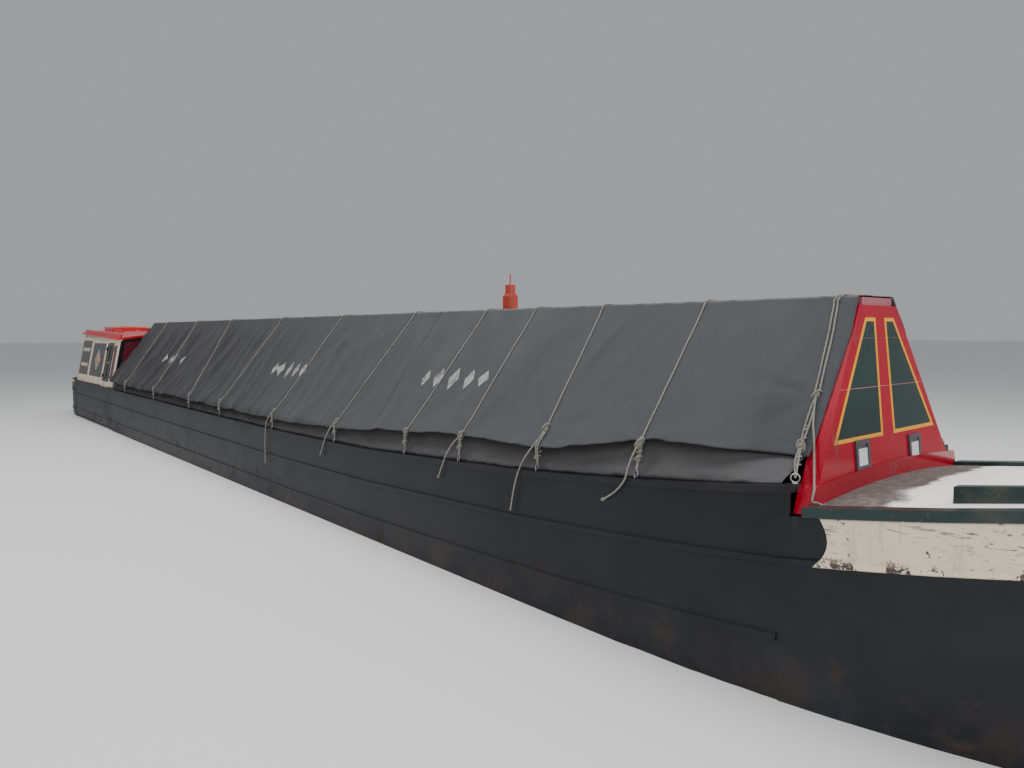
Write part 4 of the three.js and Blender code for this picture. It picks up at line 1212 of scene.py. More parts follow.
def thicken(piece):
    """Gives a cloth its thickness."""
    solid = piece.modifiers.new("thickness", "SOLIDIFY")
    solid.thickness = bpy.context.scene.boat_canvas.thickness
    solid.offset = 1.0


SIDE_CLOTH_SPAN = (-5.978, 8.066)
SIDE_CLOTH_GIRTH = 0.405
SIDE_CLOTH_ROWS = (
    0.0, 0.03, 0.06, 0.10, 0.14, 0.19, 0.25, 0.32, 0.40, 0.50, 0.60, 0.70, 0.80, 0.90, 1.0,
)


def side_cloth_point(x, side, share):
    """The side cloth: up from the gunwale and leaning in, with soft waves and a crumpled foot."""
    foot = sheer(x) + 0.002
    y = gunwale_half(x) - 0.047 - wrapped(x, 0.235, 0.320) * share
    z = foot + wrapped(x, 0.330, 0.165) * share
    bulge = 0.010 * math.sin(math.pi * share)
    wave = noise.noise(Vector(((x + share * 0.25) * 3.3, share * 0.8, side * 2.0)))
    fine = noise.noise(Vector(((x - share * 0.4) * 11.0, share * 2.2, side * 5.0)))
    out = bulge + (0.018 * wave + 0.006 * fine) * smooth_step(share, 0.0, 0.35)
    roll = 1.0 - smooth_step(share, 0.06, 0.30)
    crumple = abs(noise.noise(Vector((x * 7.5, share * 3.0, side * 7.0))))
    ruck = noise.noise(Vector(((x + share * 0.3) * 19.0, share * 9.0, side * 3.0)))
    out += roll * (0.006 + 0.030 * crumple + 0.008 * ruck) * smooth_step(share, -0.01, 0.04)
    return Vector((x, side * (y + out * 0.81), z + out * 0.58))


def build_side_cloth(side, name):
    """One side cloth, from the gunwale up to behind the top cloths."""
    shape = Shape()
    xs = np.linspace(*SIDE_CLOTH_SPAN, 620)
    points = []
    uvs = []
    for x in xs:
        for share in SIDE_CLOTH_ROWS:
            points.append(side_cloth_point(x, side, share))
            uvs.append((x, share * SIDE_CLOTH_GIRTH))
    faces = quads(len(xs) - 1, len(SIDE_CLOTH_ROWS))
    shape.add(points, faces if side < 0 else [face[::-1] for face in faces], 0, True, uvs)
    cloth = shape.piece(f"side_canvas_{name}", "boat", "side_canvas", ["side_canvas"], mend=False)
    thicken(cloth)
    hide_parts(f"side_cloth_{name}")


MARK_PLACES = (4.83, 1.42, -3.15)
MARK_SHARE = 0.56
MARK_LIFT = 0.0066
ROPE_LIFT = 0.0085


def build_cloth_marks():
    """Faded rows of painted lozenges on the starboard side of the top cloths."""
    shape = Shape()
    cells = 6
    for centre in MARK_PLACES:
        for spot in range(-2, 3):
            tall = 0.088 - 0.012 * abs(spot)
            u, v = centre + spot * 0.215, MARK_SHARE
            points = []
            for i in range(cells + 1):
                for k in range(cells + 1):
                    a, b = i / cells - 0.5, k / cells - 0.5
                    x = u + (a - b) * 0.064
                    girth = share_to_girth(x, -1, v + (a + b) * tall)
                    lift = canvas_normal(x, -1) * MARK_LIFT
                    points.append(canvas_point(x, -1, girth) + lift)
            faces = [[face[i] for i in (0, 3, 2, 1)] for face in quads(cells, cells + 1)]
            shape.add(points, faces, 0, True)
    shape.piece("cloth_marks", "boat", "top_canvas", ["stencil"], mend=False)


def build_canvas():
    """All five cloths and the marks on them."""
    look = bpy.context.scene.boat_canvas
    canvas_finish("top_canvas", look.top, (0.074, 0.068, 0.062), 0.42, True)
    canvas_finish("side_canvas", look.side, (0.072, 0.064, 0.056), 0.5, False)
    for name, step in (("fore", 0.024), ("mid", 0.026), ("aft", 0.026)):
        build_top_cloth(name, TOP_SPANS[name], step)
    for side, name in SIDES:
        build_side_cloth(side, name)
    stencil_finish("stencil", (0.33, 0.33, 0.315))
    build_cloth_marks()


# Lashings: each runs from a ring on one gunwale over the ridge to a ring on the other
def canvas_normal(x, side):
    """The unit vector square to the straight slope."""
    (ridge_y, ridge_z), (hem_y, hem_z) = slope_ends(x)
    run = slope_run(x)
    return Vector((0, side * (ridge_z - hem_z) / run, (hem_y - ridge_y) / run))


def share_to_girth(x, side, share):
    """Turns a share of the slope into the girth that canvas_point takes."""
    return (slope_ends(x)[0][0] + slope_run(x) * share) / canvas_girth(x, side)


def rope_on_canvas(lashing, side, share, shift=0.0):
    """A point of a lashing that lies on the cloth."""
    x = lashing_x(lashing, side, share) + shift
    point = canvas_point(x, side, share_to_girth(x, side, share))
    return point + canvas_normal(x, side) * ROPE_LIFT


def gunwale_ring(shape, x, side, lean):
    """A ring through a staple on the gunwale's top, turned up towards the rope."""
    foot = Vector((x, side * (gunwale_half(x) - 0.018), sheer(x)))
    staple = []
    for step in range(9):
        angle = math.pi * step / 8
        staple.append(foot + Vector((0.0, side * 0.011 * math.cos(angle), 0.013 * math.sin(angle))))
    shape.tube([staple[0] - Vector((0, 0, 0.004)), *staple], 0.0032, 8, STEEL)
    pull = (Vector(lean) - foot).normalized()
    centre = foot + Vector((0, 0, 0.008)) + pull * 0.019
    along = pull.cross(Vector((1, 0, 0))).normalized()
    shape.ring(centre, along + Vector((0.35, 0, 0)), 0.021, 0.0036, STEEL, 24)
    return centre + pull * 0.019


def rope_pair(shape, points, spread, diameter):
    """Two parts of rope that run side by side and meet at both ends."""
    count = len(points) - 1
    for turn in (-1, 1):
        line = []
        for i, point in enumerate(points):
            swing = math.sin(math.pi * i / count)
            line.append(Vector(point) + Vector((turn * spread * (0.35 + swing), 0.0, 0.0)))
        laid_rope(shape, line, diameter)


def wound(shape, start, end, radius, turns, diameter):
    """Rope wound round two parts of a lashing, loosely and unevenly."""
    _, side, up = axes_about(end - start)
    count = int(turns * 12)
    path = []
    for i in range(count + 1):
        share = i / count
        angle = 2 * math.pi * turns * share
        reach = radius * (1.0 + 0.28 * math.sin(angle * 0.37 + start.x * 9.0))
        path.append(start.lerp(end, share) + spoke(side, up, angle) * reach)
    shape.tube(path, diameter / 2, 8, ROPE, twist=KNOT_TWIST, lobes=3)


def ridge_run(lashing, shift):
    """The rope from knot to knot, over the ridge."""
    path = []
    for side in (-1, 1):
        shares = np.linspace(0.03, lashing.knot, 16)
        leg = [rope_on_canvas(lashing, side, share, shift) for share in shares]
        if side > 0:
            return path + leg
        path = leg[::-1]
        for y in (-0.193, -0.1, 0.0, 0.1, 0.193):
            path.append(Vector((lashing.ridge + shift, y, RIDGE_Z + 0.0065)))
    return path


FORE_KNOT = (8.046, 0.762, 1.852)
FORE_RING_FOOT = (8.118, 0.944, 1.692)


def mirrored(place, side):
    """A place on the port side, or its twin on the starboard side."""
    return Vector((place[0], side * place[1], place[2]))


def build_fore_lashing(shape, lashing, diameter):
    """The double lashing beside the cratch: two knots on each side and a ring by the deck beam."""
    for shift in (-0.012, 0.012):
        laid_rope(shape, ridge_run(lashing, shift), diameter)
    for side in (-1, 1):
        knot = rope_on_canvas(lashing, side, lashing.knot)
        lower = mirrored(FORE_KNOT, side)
        foot = mirrored(FORE_RING_FOOT, side)
        low_ring = foot + Vector((0.0, side * -0.002, 0.026))
        hitch(shape, knot, lower - knot, diameter, 3.0)
        line = [knot, knot.lerp(lower, 0.35), knot.lerp(lower, 0.7), lower]
        rope_pair(shape, line, 0.008, diameter * 0.9)
        hitch(shape, lower, low_ring - lower, diameter, 3.5)
        middle = lower.lerp(low_ring, 0.5) + Vector((0, side * 0.012, 0.010))
        rope_pair(shape, [lower, middle, low_ring], 0.006, diameter * 0.9)
        wound(shape, knot.lerp(lower, 0.55), lower, diameter, 2.5, diameter * 0.85)
        wound(shape, lower, low_ring.lerp(lower, 0.25), diameter, 3.0, diameter * 0.85)
        shape.ring(low_ring, (0.5, side, 0.2), 0.0215, 0.0040, STEEL, 28)
        plate = [(0.016, 0.0), (0.016, 0.004), (0.008, 0.009)]
        shape.turned(plate, foot - Vector((0, 0, 0.002)), finish=STEEL)


def build_lashings():
    """Every lashing with its knots and rings."""
    thick = bpy.context.scene.boat_ropes.diameter
    metal_finish("ring_steel", (0.34, 0.34, 0.35), 0.38, 0.4)
    for number, lashing in enumerate(LASHINGS, 1):
        shape = Shape()
        if number == 1:
            build_fore_lashing(shape, lashing, thick)
            shape.piece(f"lashing_{number}", "boat", "rope", ["rope", "ring_steel"])
            continue
        laid_rope(shape, ridge_run(lashing, 0.0), thick)
        for side in (-1, 1):
            foot_x = lashing_x(lashing, side, 1.0)
            top = rope_on_canvas(lashing, side, lashing.knot)
            ring = gunwale_ring(shape, foot_x, side, top)
            hitch(shape, top, ring - top, thick * 1.15, 3.5)
            points = [top]
            for share in np.linspace(lashing.knot + 0.02, 0.99, 2):
                girth = min(share_to_girth(foot_x, side, share), 1.0)
                spot = canvas_point(foot_x, side, girth)
                points.append(spot + canvas_normal(foot_x, side) * 2 * ROPE_LIFT)
            points.append(ring)
            rope_pair(shape, points, 0.008, thick * 0.9)
            first, last = points[0].lerp(points[1], 0.5), points[-2].lerp(ring, 0.62)
            wound(shape, first, last, thick, 4.5, thick * 0.85)
            hitch(shape, last, ring - last, thick, 2.0)
        shape.piece(f"lashing_{number}", "boat", "rope", ["rope", "ring_steel"])


# CAD nodes: each material slot gets its finish
NODE_FINISHES = {
    "hull": "hull",
    "green_paint": "green",
    "deck_paint": "deck",
    "red_paint": "red",
    "roof_paint": "roof",
    "maroon_paint": "maroon",
    "cream_paint": "cream",
    "panel_paint": "dark",
    "plank_wood": "planks",
    "bronze": "bronze",
    "engine_iron": "engine",
}


# Nodes whose thin or curved plates keep their sharp edges
SHELL_NODES = (
    "hold_side",
    "quarter",
    "bottom",
    "fore_end",
    "fore_bulk",
    "swim",
    "uxter",
    "propeller",
    "stem",
)
NODE_NAME_FINISHES = {"top_plank_fore": "faded_red", "deck_beam": "beam_red"}
ROUNDING = 0.0025
BEAM_ROUNDING = 0.006


def build_finishes():
    """The finishes of the CAD nodes, panels, lines and brass."""
    look = bpy.context.scene.boat_paint
    hull_paint("hull", look.hull, 0.62)
    hull_paint("gunwale", look.hull, 0.8, dust=(0.050, 0.045, 0.043))
    gloss_paint("green", look.green, 0.34, 0.45, 0.45, (0.09, 0.085, 0.08), 0.25)
    gloss_paint("red", look.red, 0.22, 0.22, 0.2, (0.16, 0.05, 0.04), 0.12, 0.18)
    gloss_paint("roof", look.roof, 0.25, 0.12, 0.25, (0.13, 0.02, 0.02), 0.1, 0.20)
    gloss_paint("beam_red", look.red, 0.16, 0.30, 0.3, (0.30, 0.16, 0.14), 0.15, 0.50)
    gloss_paint("maroon", look.maroon, 0.26, 0.2, 0.3)
    gloss_paint("cream", look.cream, 0.4, 0.3, 0.5, (0.12, 0.09, 0.07), 0.08)
    gloss_paint("dark", look.dark, 0.25, 0.25, 0.2, (0.12, 0.11, 0.10), 0.18, 0.16)
    gloss_paint("yellow", look.yellow, 0.35, 0.25, 0.25, (0.25, 0.12, 0.04), 0.1)
    field_green = [share * 0.95 for share in look.green]
    gloss_paint("panel_green", field_green, 0.2, 0.12, 0.25, (0.10, 0.10, 0.10), 0.2, 0.24)
    gloss_paint("engine", (0.03, 0.075, 0.045), 0.4, 0.35, 0.6)
    deck_paint("deck", look.deck)
    chipped_cream("old_cream", look.cream)
    plank_finish("planks", look.wood)
    metal_finish("bronze", (0.42, 0.27, 0.11), 0.38, 0.25)
    metal_finish("brass", (0.62, 0.42, 0.15), 0.25, 0.1)
    gloss_paint("notice", (0.60, 0.60, 0.62), 0.18, 0.1, 0.3, (0.3, 0.3, 0.3), 0.05)
    gloss_paint("frame_grey", (0.055, 0.048, 0.06), 0.3, 0.2, 0.3, (0.12, 0.11, 0.12), 0.1)
    gloss_paint("seam", (0.48, 0.20, 0.21), 0.35, 0.1, 0.2, (0.3, 0.08, 0.08), 0.2)
    gloss_paint("faded_red", (0.31, 0.085, 0.105), 0.5, 0.25, 0.3, (0.30, 0.20, 0.17), 0.15)
    gloss_paint("brick_red", (0.36, 0.035, 0.018), 0.4, 0.35, 0.4, (0.12, 0.05, 0.03), 0.2)


def dress_nodes():
    """Gives each CAD node its finish, and softly rounded edges to all but the shell nodes."""
    slots = {row["node"]: row["material_slot"] for row in frame["record"]["subparts"]}
    for name, node in frame["nodes"].items():
        finish = NODE_FINISHES.get(slots.get(name))
        if finish is None:
            continue
        if name.startswith("gunwale"):
            finish = "gunwale"
        if name.startswith("mast") and name != "mast_beam":
            finish = "brick_red"
        finish = NODE_NAME_FINISHES.get(name, finish)
        node.data.materials.clear()
        node.data.materials.append(FINISHES[finish])
        if not name.startswith(SHELL_NODES):
            soft = node.modifiers.new("soft_edges", "BEVEL")
            soft.width = BEAM_ROUNDING if name == "deck_beam" else ROUNDING
            soft.segments = 2
            soft.limit_method = "ANGLE"
            soft.angle_limit = math.radians(42)


# Cratch: painted face, notices and screws
def cratch_face(y, z, out):
    """Puts (y, z, out) on the leaning face of the cratch board."""
    lean = math.atan(CRATCH_LEAN)
    x = CRATCH_FOOT_X - CRATCH_LEAN * (z - CRATCH_FOOT_Z)
    return Vector((x + out * math.cos(lean), y, z + out * math.sin(lean)))


def inset(outline, amount):
    """The outline moved inward by the same amount on every side."""
    count = len(outline)
    area = 0.0
    for i in range(count):
        (a, b), (c, d) = outline[i], outline[(i + 1) % count]
        area += a * d - c * b
    turn = 1 if area > 0 else -1
    moved = []
    for i in range(count):
        before, here, after = (Vector(outline[(i + k) % count]) for k in (-1, 0, 1))
        first = (here - before).normalized()
        second = (after - here).normalized()
        normal = Vector((-first.y - second.y, first.x + second.x)) * turn
        normal.normalize()
        half = Vector((-first.y, first.x)) * turn
        moved.append(tuple(here + normal * amount / max(normal.dot(half), 0.2)))
    return moved


def oblong_of(low_u, high_u, low_v, high_v):
    """An oblong between its limits."""
    return [(low_u, low_v), (high_u, low_v), (high_u, high_v), (low_u, high_v)]


def oblong(u, v, half_u, half_v):
    """An oblong about its centre."""
    return oblong_of(u - half_u, u + half_u, v - half_v, v + half_v)


CRATCH_FINISHES = ["red", "yellow", "panel_green", "frame_grey", "notice", "seam"]
CRATCH_FIELD = ((0.058, 2.528), (0.182, 2.528), (0.652, 1.858), (0.070, 1.858))
NOTICE_Y = 0.342
NOTICE_Z = 1.7625
SCREW_LEVELS = (1.735, 1.835, 2.03, 2.20, 2.36, 2.55)
SCREW_PROFILE = [(0.0065, -0.002), (0.0065, 0.0008), (0.004, 0.0022)]
# Each seam between boards: its height and half its width
SEAMS = ((2.138, 0.0011), (2.412, 0.0004))


def build_cratch():
    """The cratch's painted fields, board seams, blank notice frames and screws."""
    shape = Shape()
    red, yellow, green, grey, white, pink = range(6)
    for side in (-1, 1):
        field = [(side * y, z) for y, z in CRATCH_FIELD]
        inner = inset(field, 0.021)
        shape.border(field, inner, cratch_face, 0.0022, yellow)
        shape.plate(inner, cratch_face, 0.0010, 0.0004, green)
        level = NOTICE_Z - 0.0145 * side
        frame_line = oblong(side * NOTICE_Y, level, 0.082, 0.084)
        shape.border(frame_line, inset(frame_line, 0.026), cratch_face, 0.010, grey)
        page = oblong(side * NOTICE_Y, level - 0.012, 0.0565, 0.0465)
        shape.plate(inset(frame_line, 0.0255), cratch_face, 0.004, 0.0008, grey)
        shape.plate(page, cratch_face, 0.0055, 0.0006, white)
        for z in SCREW_LEVELS:
            for along in (0.028, 0.062):
                centre = cratch_face(side * (cratch_half(z) - along), z, 0.0)
                shape.turned(SCREW_PROFILE, centre, (1, 0, CRATCH_LEAN), 12, red)
    for z, half in SEAMS:
        seam = oblong(0.0, z, cratch_half(z) - 0.002, half)
        shape.plate(seam, cratch_face, 0.0026, 0.0002, pink)
    shape.piece("cratch_face", "boat", "red_paint", CRATCH_FINISHES)


def build_plank_ends():
    """Coach bolts in the fore end of the ridge plank."""
    shape = Shape()
    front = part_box("top_plank_fore")[1][0]
    dome = [(0.0075, -0.001), (0.0075, 0.0015), (0.0055, 0.0035), (0.002, 0.0045)]
    for y in (-0.150, 0.150):
        shape.turned(dome, (front, y, 2.622), (1, 0, 0), 12)
    shape.piece("plank_bolts", "boat", "plank_wood", ["faded_red"])


def build_mast_trim():
    """The sloping shoulders of the box mast."""
    shape = Shape()
    low, high = 2.775, 2.801
    outer, inner = 0.049, 0.0365
    for turn in range(4):
        spin = Matrix.Rotation(math.pi / 2 * turn, 3, "Z")
        corners = [
            Vector((outer, -outer, low)),
            Vector((outer, outer, low)),
            Vector((inner, inner, high)),
            Vector((inner, -inner, high)),
            Vector((inner, -inner, low)),
            Vector((inner, inner, low)),
        ]
        points = [spin @ corner + Vector((MAST_X, 0, 0)) for corner in corners]
        shape.add(points, [(0, 1, 2, 3), (3, 2, 5, 4), (0, 3, 4), (1, 5, 2)], 0)
    shape.piece("mast_shoulders", "boat", "red_paint", ["brick_red"])


# Bow: the cream panels below the green bands
def node_tree(name):
    """A search tree of one CAD node, to seat painted fields on its real surface."""
    mesh = frame["nodes"][name].data
    points = [vertex.co.copy() for vertex in mesh.vertices]
    return BVHTree.FromPolygons(points, [tuple(polygon.vertices) for polygon in mesh.polygons])


PANEL_DROPS = (0.0505, 0.08, 0.11, 0.14, 0.17, 0.20, 0.23, 0.2535, 0.2560, 0.2640, 0.2780, 0.2915, 0.2990)


PANEL_REAR = 8.276
PANEL_FRONT = 10.42


def build_bow_panels():
    """Old cream paint from the green band to the foot of the strake, over hull and strake."""
    surface = node_tree("fore_end")
    shape = Shape()
    columns = 120
    rows = len(PANEL_DROPS)
    for side in (-1, 1):
        points = []
        uvs = []
        for i in range(columns + 1):
            for k, drop in enumerate(PANEL_DROPS):
                v = (drop - PANEL_DROPS[0]) / (PANEL_DROPS[-1] - PANEL_DROPS[0])
                rear = PANEL_REAR + 0.040 * math.sin(math.pi * min(v / 1.05, 1)) - 0.040 * v**4
                front = PANEL_FRONT - 0.10 * math.sin(math.pi * v) - 0.03 * v
                x = rear + (front - rear) * i / columns
                z = bow_band_top(x) - drop
                hit = surface.ray_cast(Vector((x, side * 1.6, z)), Vector((0, -side, 0)))[0]
                if hit is None:
                    hit = Vector((x, side * side_half(x, z), z))
                lip = 0.0018 if 0 < i < columns and 0 < k < rows - 1 else 0.0003
                points.append(hit + Vector((0.0005, side * lip, 0)))
                uvs.append((x, v))
        faces = quads(columns, rows)
        shape.add(points, faces if side > 0 else [face[::-1] for face in faces], 0, False, uvs)
    shape.piece("bow_panels", "boat", "cream_paint", ["old_cream"], mend=False)


# Cabin: painted panels, mouldings, doors and fittings
def cabin_half(z):
    """The cabin's half-breadth at height z."""
    return CABIN_FOOT_HALF - CABIN_LEAN * (z - CABIN_FOOT_Z)


def cabin_face(side):
    """Gives the function that puts (x, z, out) on the leaning cabin side."""
    lean = math.atan(CABIN_LEAN)

    def place(x, z, out):
        return Vector((x, side * (cabin_half(z) + out * math.cos(lean)), z + out * math.sin(lean)))

    return place


def front_face(y, z, out):
    """Puts (y, z, out) on the cabin's front bulkhead."""
    return Vector((CABIN_FRONT + out, y, z))


def rear_face(y, z, out):
    """Puts (y, z, out) on the cabin's rear bulkhead."""
    return Vector((CABIN_REAR - out, y, z))


def eave(x):
    """The height of the cabin side's upper edge."""
    return CABIN_EAVE + (CABIN_FRONT - x) * ROOF_RISE


def scalloped(low_u, high_u, low_v, high_v, bite):
    """An oblong whose corners are cut in by quarter rounds."""
    outline = []
    corners = ((low_u, low_v, 0), (high_u, low_v, 1), (high_u, high_v, 2), (low_u, high_v, 3))
    for u, v, turn in corners:
        for step in range(6):
            angle = math.pi / 2 * (turn + 1 - step / 5)
            outline.append((u + bite * math.cos(angle), v + bite * math.sin(angle)))
    return outline


def lozenges(shape, place, start, end, v, half, finishes):
    """A traditional row of lozenges in alternating colours."""
    count = max(int(round((end - start) / (half * 1.5))), 1)
    pitch = (end - start) / count
    for i in range(count):
        u = start + pitch * (i + 0.5)
        outline = [(u - pitch / 2, v), (u, v - half), (u + pitch / 2, v), (u, v + half)]
        shape.plate(outline, place, 0.0014, 0.0003, finishes[i % len(finishes)])


CABIN_FINISHES = ["dark", "red", "yellow", "cream", "maroon", "panel_green", "brass"]
DARK, RED, YELLOW, CREAM, MAROON, GREEN, BRASS = range(7)
SLOT_PANEL = (-6.352, -6.135)
MIDDLE_PANEL = (-8.235, -7.100)
REAR_PANEL = (-9.335, -8.430)
PANEL_FOOT = 1.540
PANEL_TOP_DROP = 0.112
LINE_WIDTH = 0.009
MEDALLION = ((0.235, CREAM), (0.205, DARK), (0.150, CREAM), (0.118, RED), (0.055, YELLOW))
MEDALLION_Z = 1.885
CORNICE = (-9.375, -6.005, 25)
FOOT_BEADS = ((-9.375, -6.982, 20), (-6.39, -6.006, 8))


def side_field(shape, place, span):
    """A dark field with a red line round it. Gives its outline."""
    low, high = span
    field = oblong_of(low, high, PANEL_FOOT, eave(high) - PANEL_TOP_DROP)
    shape.plate(field, place, 0.0010, 0.0003, DARK)
    shape.border(field, inset(field, LINE_WIDTH), place, 0.0020, RED)
    return field


def build_cabin_sides():
    """The dark fields with their patterns, the cornice bead and the foot beads."""
    shape = Shape()
    for side in (-1, 1):
        place = cabin_face(side)
        slot = inset(side_field(shape, place, SLOT_PANEL), 0.050)
        shape.border(slot, inset(slot, LINE_WIDTH), place, 0.0020, RED)
        side_field(shape, place, MIDDLE_PANEL)
        middle = sum(MIDDLE_PANEL) / 2
        for reach, finish in MEDALLION:
            rise = reach * 0.92
            spot = [
                (middle - reach, MEDALLION_Z),
                (middle, MEDALLION_Z - rise),
                (middle + reach, MEDALLION_Z),
                (middle, MEDALLION_Z + rise),
            ]
            shape.plate(spot, place, 0.0028 - 0.004 * reach, 0.0003, finish)
        side_field(shape, place, REAR_PANEL)
        for level in (1.760, 2.085):
            low, high = REAR_PANEL[0] + 0.110, REAR_PANEL[1] - 0.110
            lozenges(shape, place, low, high, level, 0.050, (CREAM,))
        bead = [place(x, eave(x) - 0.052, 0.004) for x in np.linspace(*CORNICE)]
        shape.tube(bead, 0.011, 10, CREAM)
        for span in FOOT_BEADS:
            shape.tube([place(x, 1.388, 0.003) for x in np.linspace(*span)], 0.009, 8, MAROON)
    shape.piece("cabin_side_paint", "boat", "cream_paint", CABIN_FINISHES)


def painted_panel(shape, low_y, high_y, low_z, high_z, field, bite):
    """A scalloped field with a yellow line in it, on the rear of the cabin."""
    outer = scalloped(low_y, high_y, low_z, high_z, bite)
    shape.plate(outer, rear_face, 0.0008, 0.0003, field)
    line = inset(oblong_of(low_y, high_y, low_z, high_z), 0.022)
    shape.border(line, inset(line, LINE_WIDTH), rear_face, 0.0016, YELLOW)


def build_cabin_ends():
    """The scalloped border of the front bulkhead and the trim round the rear doorway."""
    shape = Shape()
    steps = 57
    for side in (-1, 1):
        outer = []
        inner = []
        for step in range(steps + 1):
            share = step / steps
            z = 1.50 + share * 0.80
            wall = cabin_half(z) - 0.010
            depth = 0.062 + 0.030 * abs(math.sin(math.pi * share * 7))
            outer.append((side * wall, z))
            inner.append((side * (wall - depth), z))
        shape.border(outer, inner, front_face, 0.0012, DARK, False)
    outer = []
    inner = []
    for step in range(2 * steps + 1):
        share = step / steps - 1.0
        y = share * 0.80
        under = CABIN_EAVE + 0.075 * (1 - (y / 0.85) ** 2) - 0.004
        outer.append((y, under))
        inner.append((y, under - 0.050 - 0.028 * abs(math.sin(math.pi * share * 6))))
    shape.border(outer, inner, front_face, 0.0016, DARK, False)
    for side in (-1, 1):
        post = oblong_of(side * 0.315 - 0.024, side * 0.315 + 0.024, 1.40, 2.44)
        shape.plate(post, rear_face, 0.0025, 0.0010, RED)
        shape.plate(inset(post, 0.015), rear_face, 0.0033, 0.0004, YELLOW)
        low, high = sorted((side * 0.372, side * 0.748))
        painted_panel(shape, low, high, 1.50, 1.86, DARK, 0.045)
        painted_panel(shape, low, high, 1.93, 2.33, GREEN, 0.045)
        for level in (1.575, 2.250):
            lozenges(shape, rear_face, low + 0.05, high - 0.05, level, 0.024, (CREAM, RED))
    shape.piece("cabin_end_paint", "boat", "maroon_paint", CABIN_FINISHES)


KNOB_SIZE = 0.014
KNOB_PROFILE = (
    (0.5, 0.0),
    (0.5, 0.12),
    (0.22, 0.25),
    (0.22, 0.7),
    (0.55, 0.95),
    (0.6, 1.25),
    (0.4, 1.5),
)


def knob(shape, place, u, v):
    """A turned brass knob."""
    centre = place(u, v, 0.0)
    axis = place(u, v, 1.0) - centre
    profile = [(radius * KNOB_SIZE, height * KNOB_SIZE) for radius, height in KNOB_PROFILE]
    shape.turned(profile, centre, axis, 16, BRASS)


SIDE_LEAVES = (("aft", -6.9625, -6.6890), ("fore", -6.6810, -6.4075))
LEAF_FIELDS = ((1.520, 1.835), (1.880, 2.198))
DOOR_FIELDS = ((1.425, 1.800, GREEN), (1.850, 2.420, DARK))


def build_doors():
    """Panels and knobs, each set riding on its own door leaf."""
    for side, word in SIDES:
        place = cabin_face(side)
        for name, low, high in SIDE_LEAVES:
            shape = Shape()
            for bottom, top in LEAF_FIELDS:
                field = oblong_of(low + 0.036, high - 0.036, bottom, top)
                shape.border(field, inset(field, 0.014), place, 0.005, DARK)
            if name == "aft":
                knob(shape, place, high - 0.020, 1.855)
            leaf = f"{name}_{word}"
            shape.piece(f"side_leaf_trim_{leaf}", f"side_leaf_{leaf}", "panel_paint", CABIN_FINISHES)
    for side, word in SIDES:
        shape = Shape()
        low, high = sorted((side * 0.012, side * 0.262))
        for bottom, top, field in DOOR_FIELDS:
            painted_panel(shape, low + 0.022, high - 0.022, bottom, top, field, 0.030)
            middle = (bottom + top) / 2
            lozenges(shape, rear_face, low + 0.06, high - 0.06, middle, 0.040, (CREAM, RED))
        knob(shape, rear_face, side * 0.022, 1.825)
        shape.piece(f"cabin_door_trim_{word}", f"door_{word}", "panel_paint", CABIN_FINISHES)


BRACKET_XS = (-9.1, -8.5, -7.9, -7.3, -6.7, -6.25)
RAIL_Y = 0.786
COLLAR_CENTRE = (-6.750, 0.560)
COLLAR_RADIUS = 0.0795
SLIDE_HALF = 0.385
SLIDE_CAMBER = 0.034
BOARD_HALF = 0.345
BOARD_THICK = 0.014
ROOF_CAMBER = 0.104
BOARD_FOOT = 0.115
BOARD_TOP = 0.142


def build_roof_fittings():
    """Rail brackets and the chimney collar's brass rings."""
    shape = Shape()
    for side in (-1, 1):
        for x in BRACKET_XS:
            foot = eave(x) + 0.045
            low = (x - 0.022, side * RAIL_Y - 0.017, foot - 0.02)
            high = (x + 0.022, side * RAIL_Y + 0.017, foot + 0.022)
            shape.block(low, high, 0.004)
    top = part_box("chimney_collar")[1][2]
    for drop in (0.012, 0.040):
        shape.ring((*COLLAR_CENTRE, top - drop), (0, 0, 1), COLLAR_RADIUS, 0.0045, 1, 40)
    shape.piece("roof_fittings", "boat", "roof_paint", ["roof", "brass"])


def build_slide():
    """Beads across the hatch slide, and a board that closes its fore end above the roof."""
    trim = Shape()
    low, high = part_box("cabin_slide")
    rear, front, top = low[0], high[0], high[2]
    for x in (rear + 0.030, front - 0.030):
        path = []
        for y in np.linspace(-SLIDE_HALF, SLIDE_HALF, 15):
            path.append(Vector((x, y, top - SLIDE_CAMBER * (y / 0.4) ** 2 + 0.001)))
        trim.tube(path, 0.005, 8, 1)
    count = 14
    points = []
    for x in (front - BOARD_THICK, front):
        for i in range(count + 1):
            y = -BOARD_HALF + 2 * BOARD_HALF * i / count
            points.append((x, y, eave(x) + BOARD_FOOT - ROOF_CAMBER * y * y))
            points.append((x, y, eave(x) + BOARD_TOP))
    row = 2 * (count + 1)
    faces = []
    for i in range(count):
        a = 2 * i
        faces.append([a, a + 1, a + 3, a + 2])
        faces.append([row + a, row + a + 1, row + a + 3, row + a + 2])
        faces.append([a, a + 2, row + a + 2, row + a])
        faces.append([a + 1, a + 3, row + a + 3, row + a + 1])
    faces += [[0, 1, row + 1, row], [row - 2, row - 1, 2 * row - 1, 2 * row - 2]]
    trim.add(points, faces, 0)
    trim.piece("slide_trim", "slide", "roof_paint", ["roof", "yellow"])


# Stern: the counter's painted bands and the tiller's brass
COUNTER_START = -9.3803
COUNTER_RUN = 1.5077
COUNTER_HALF = 1.055
COUNTER_POWER = 2 / 2.4
COUNTER_BANDS = ((1.347, 1.392, 0), (1.318, 1.336, 1))
BAND_OUT = 0.0016
BAND_DEPTH = -0.002
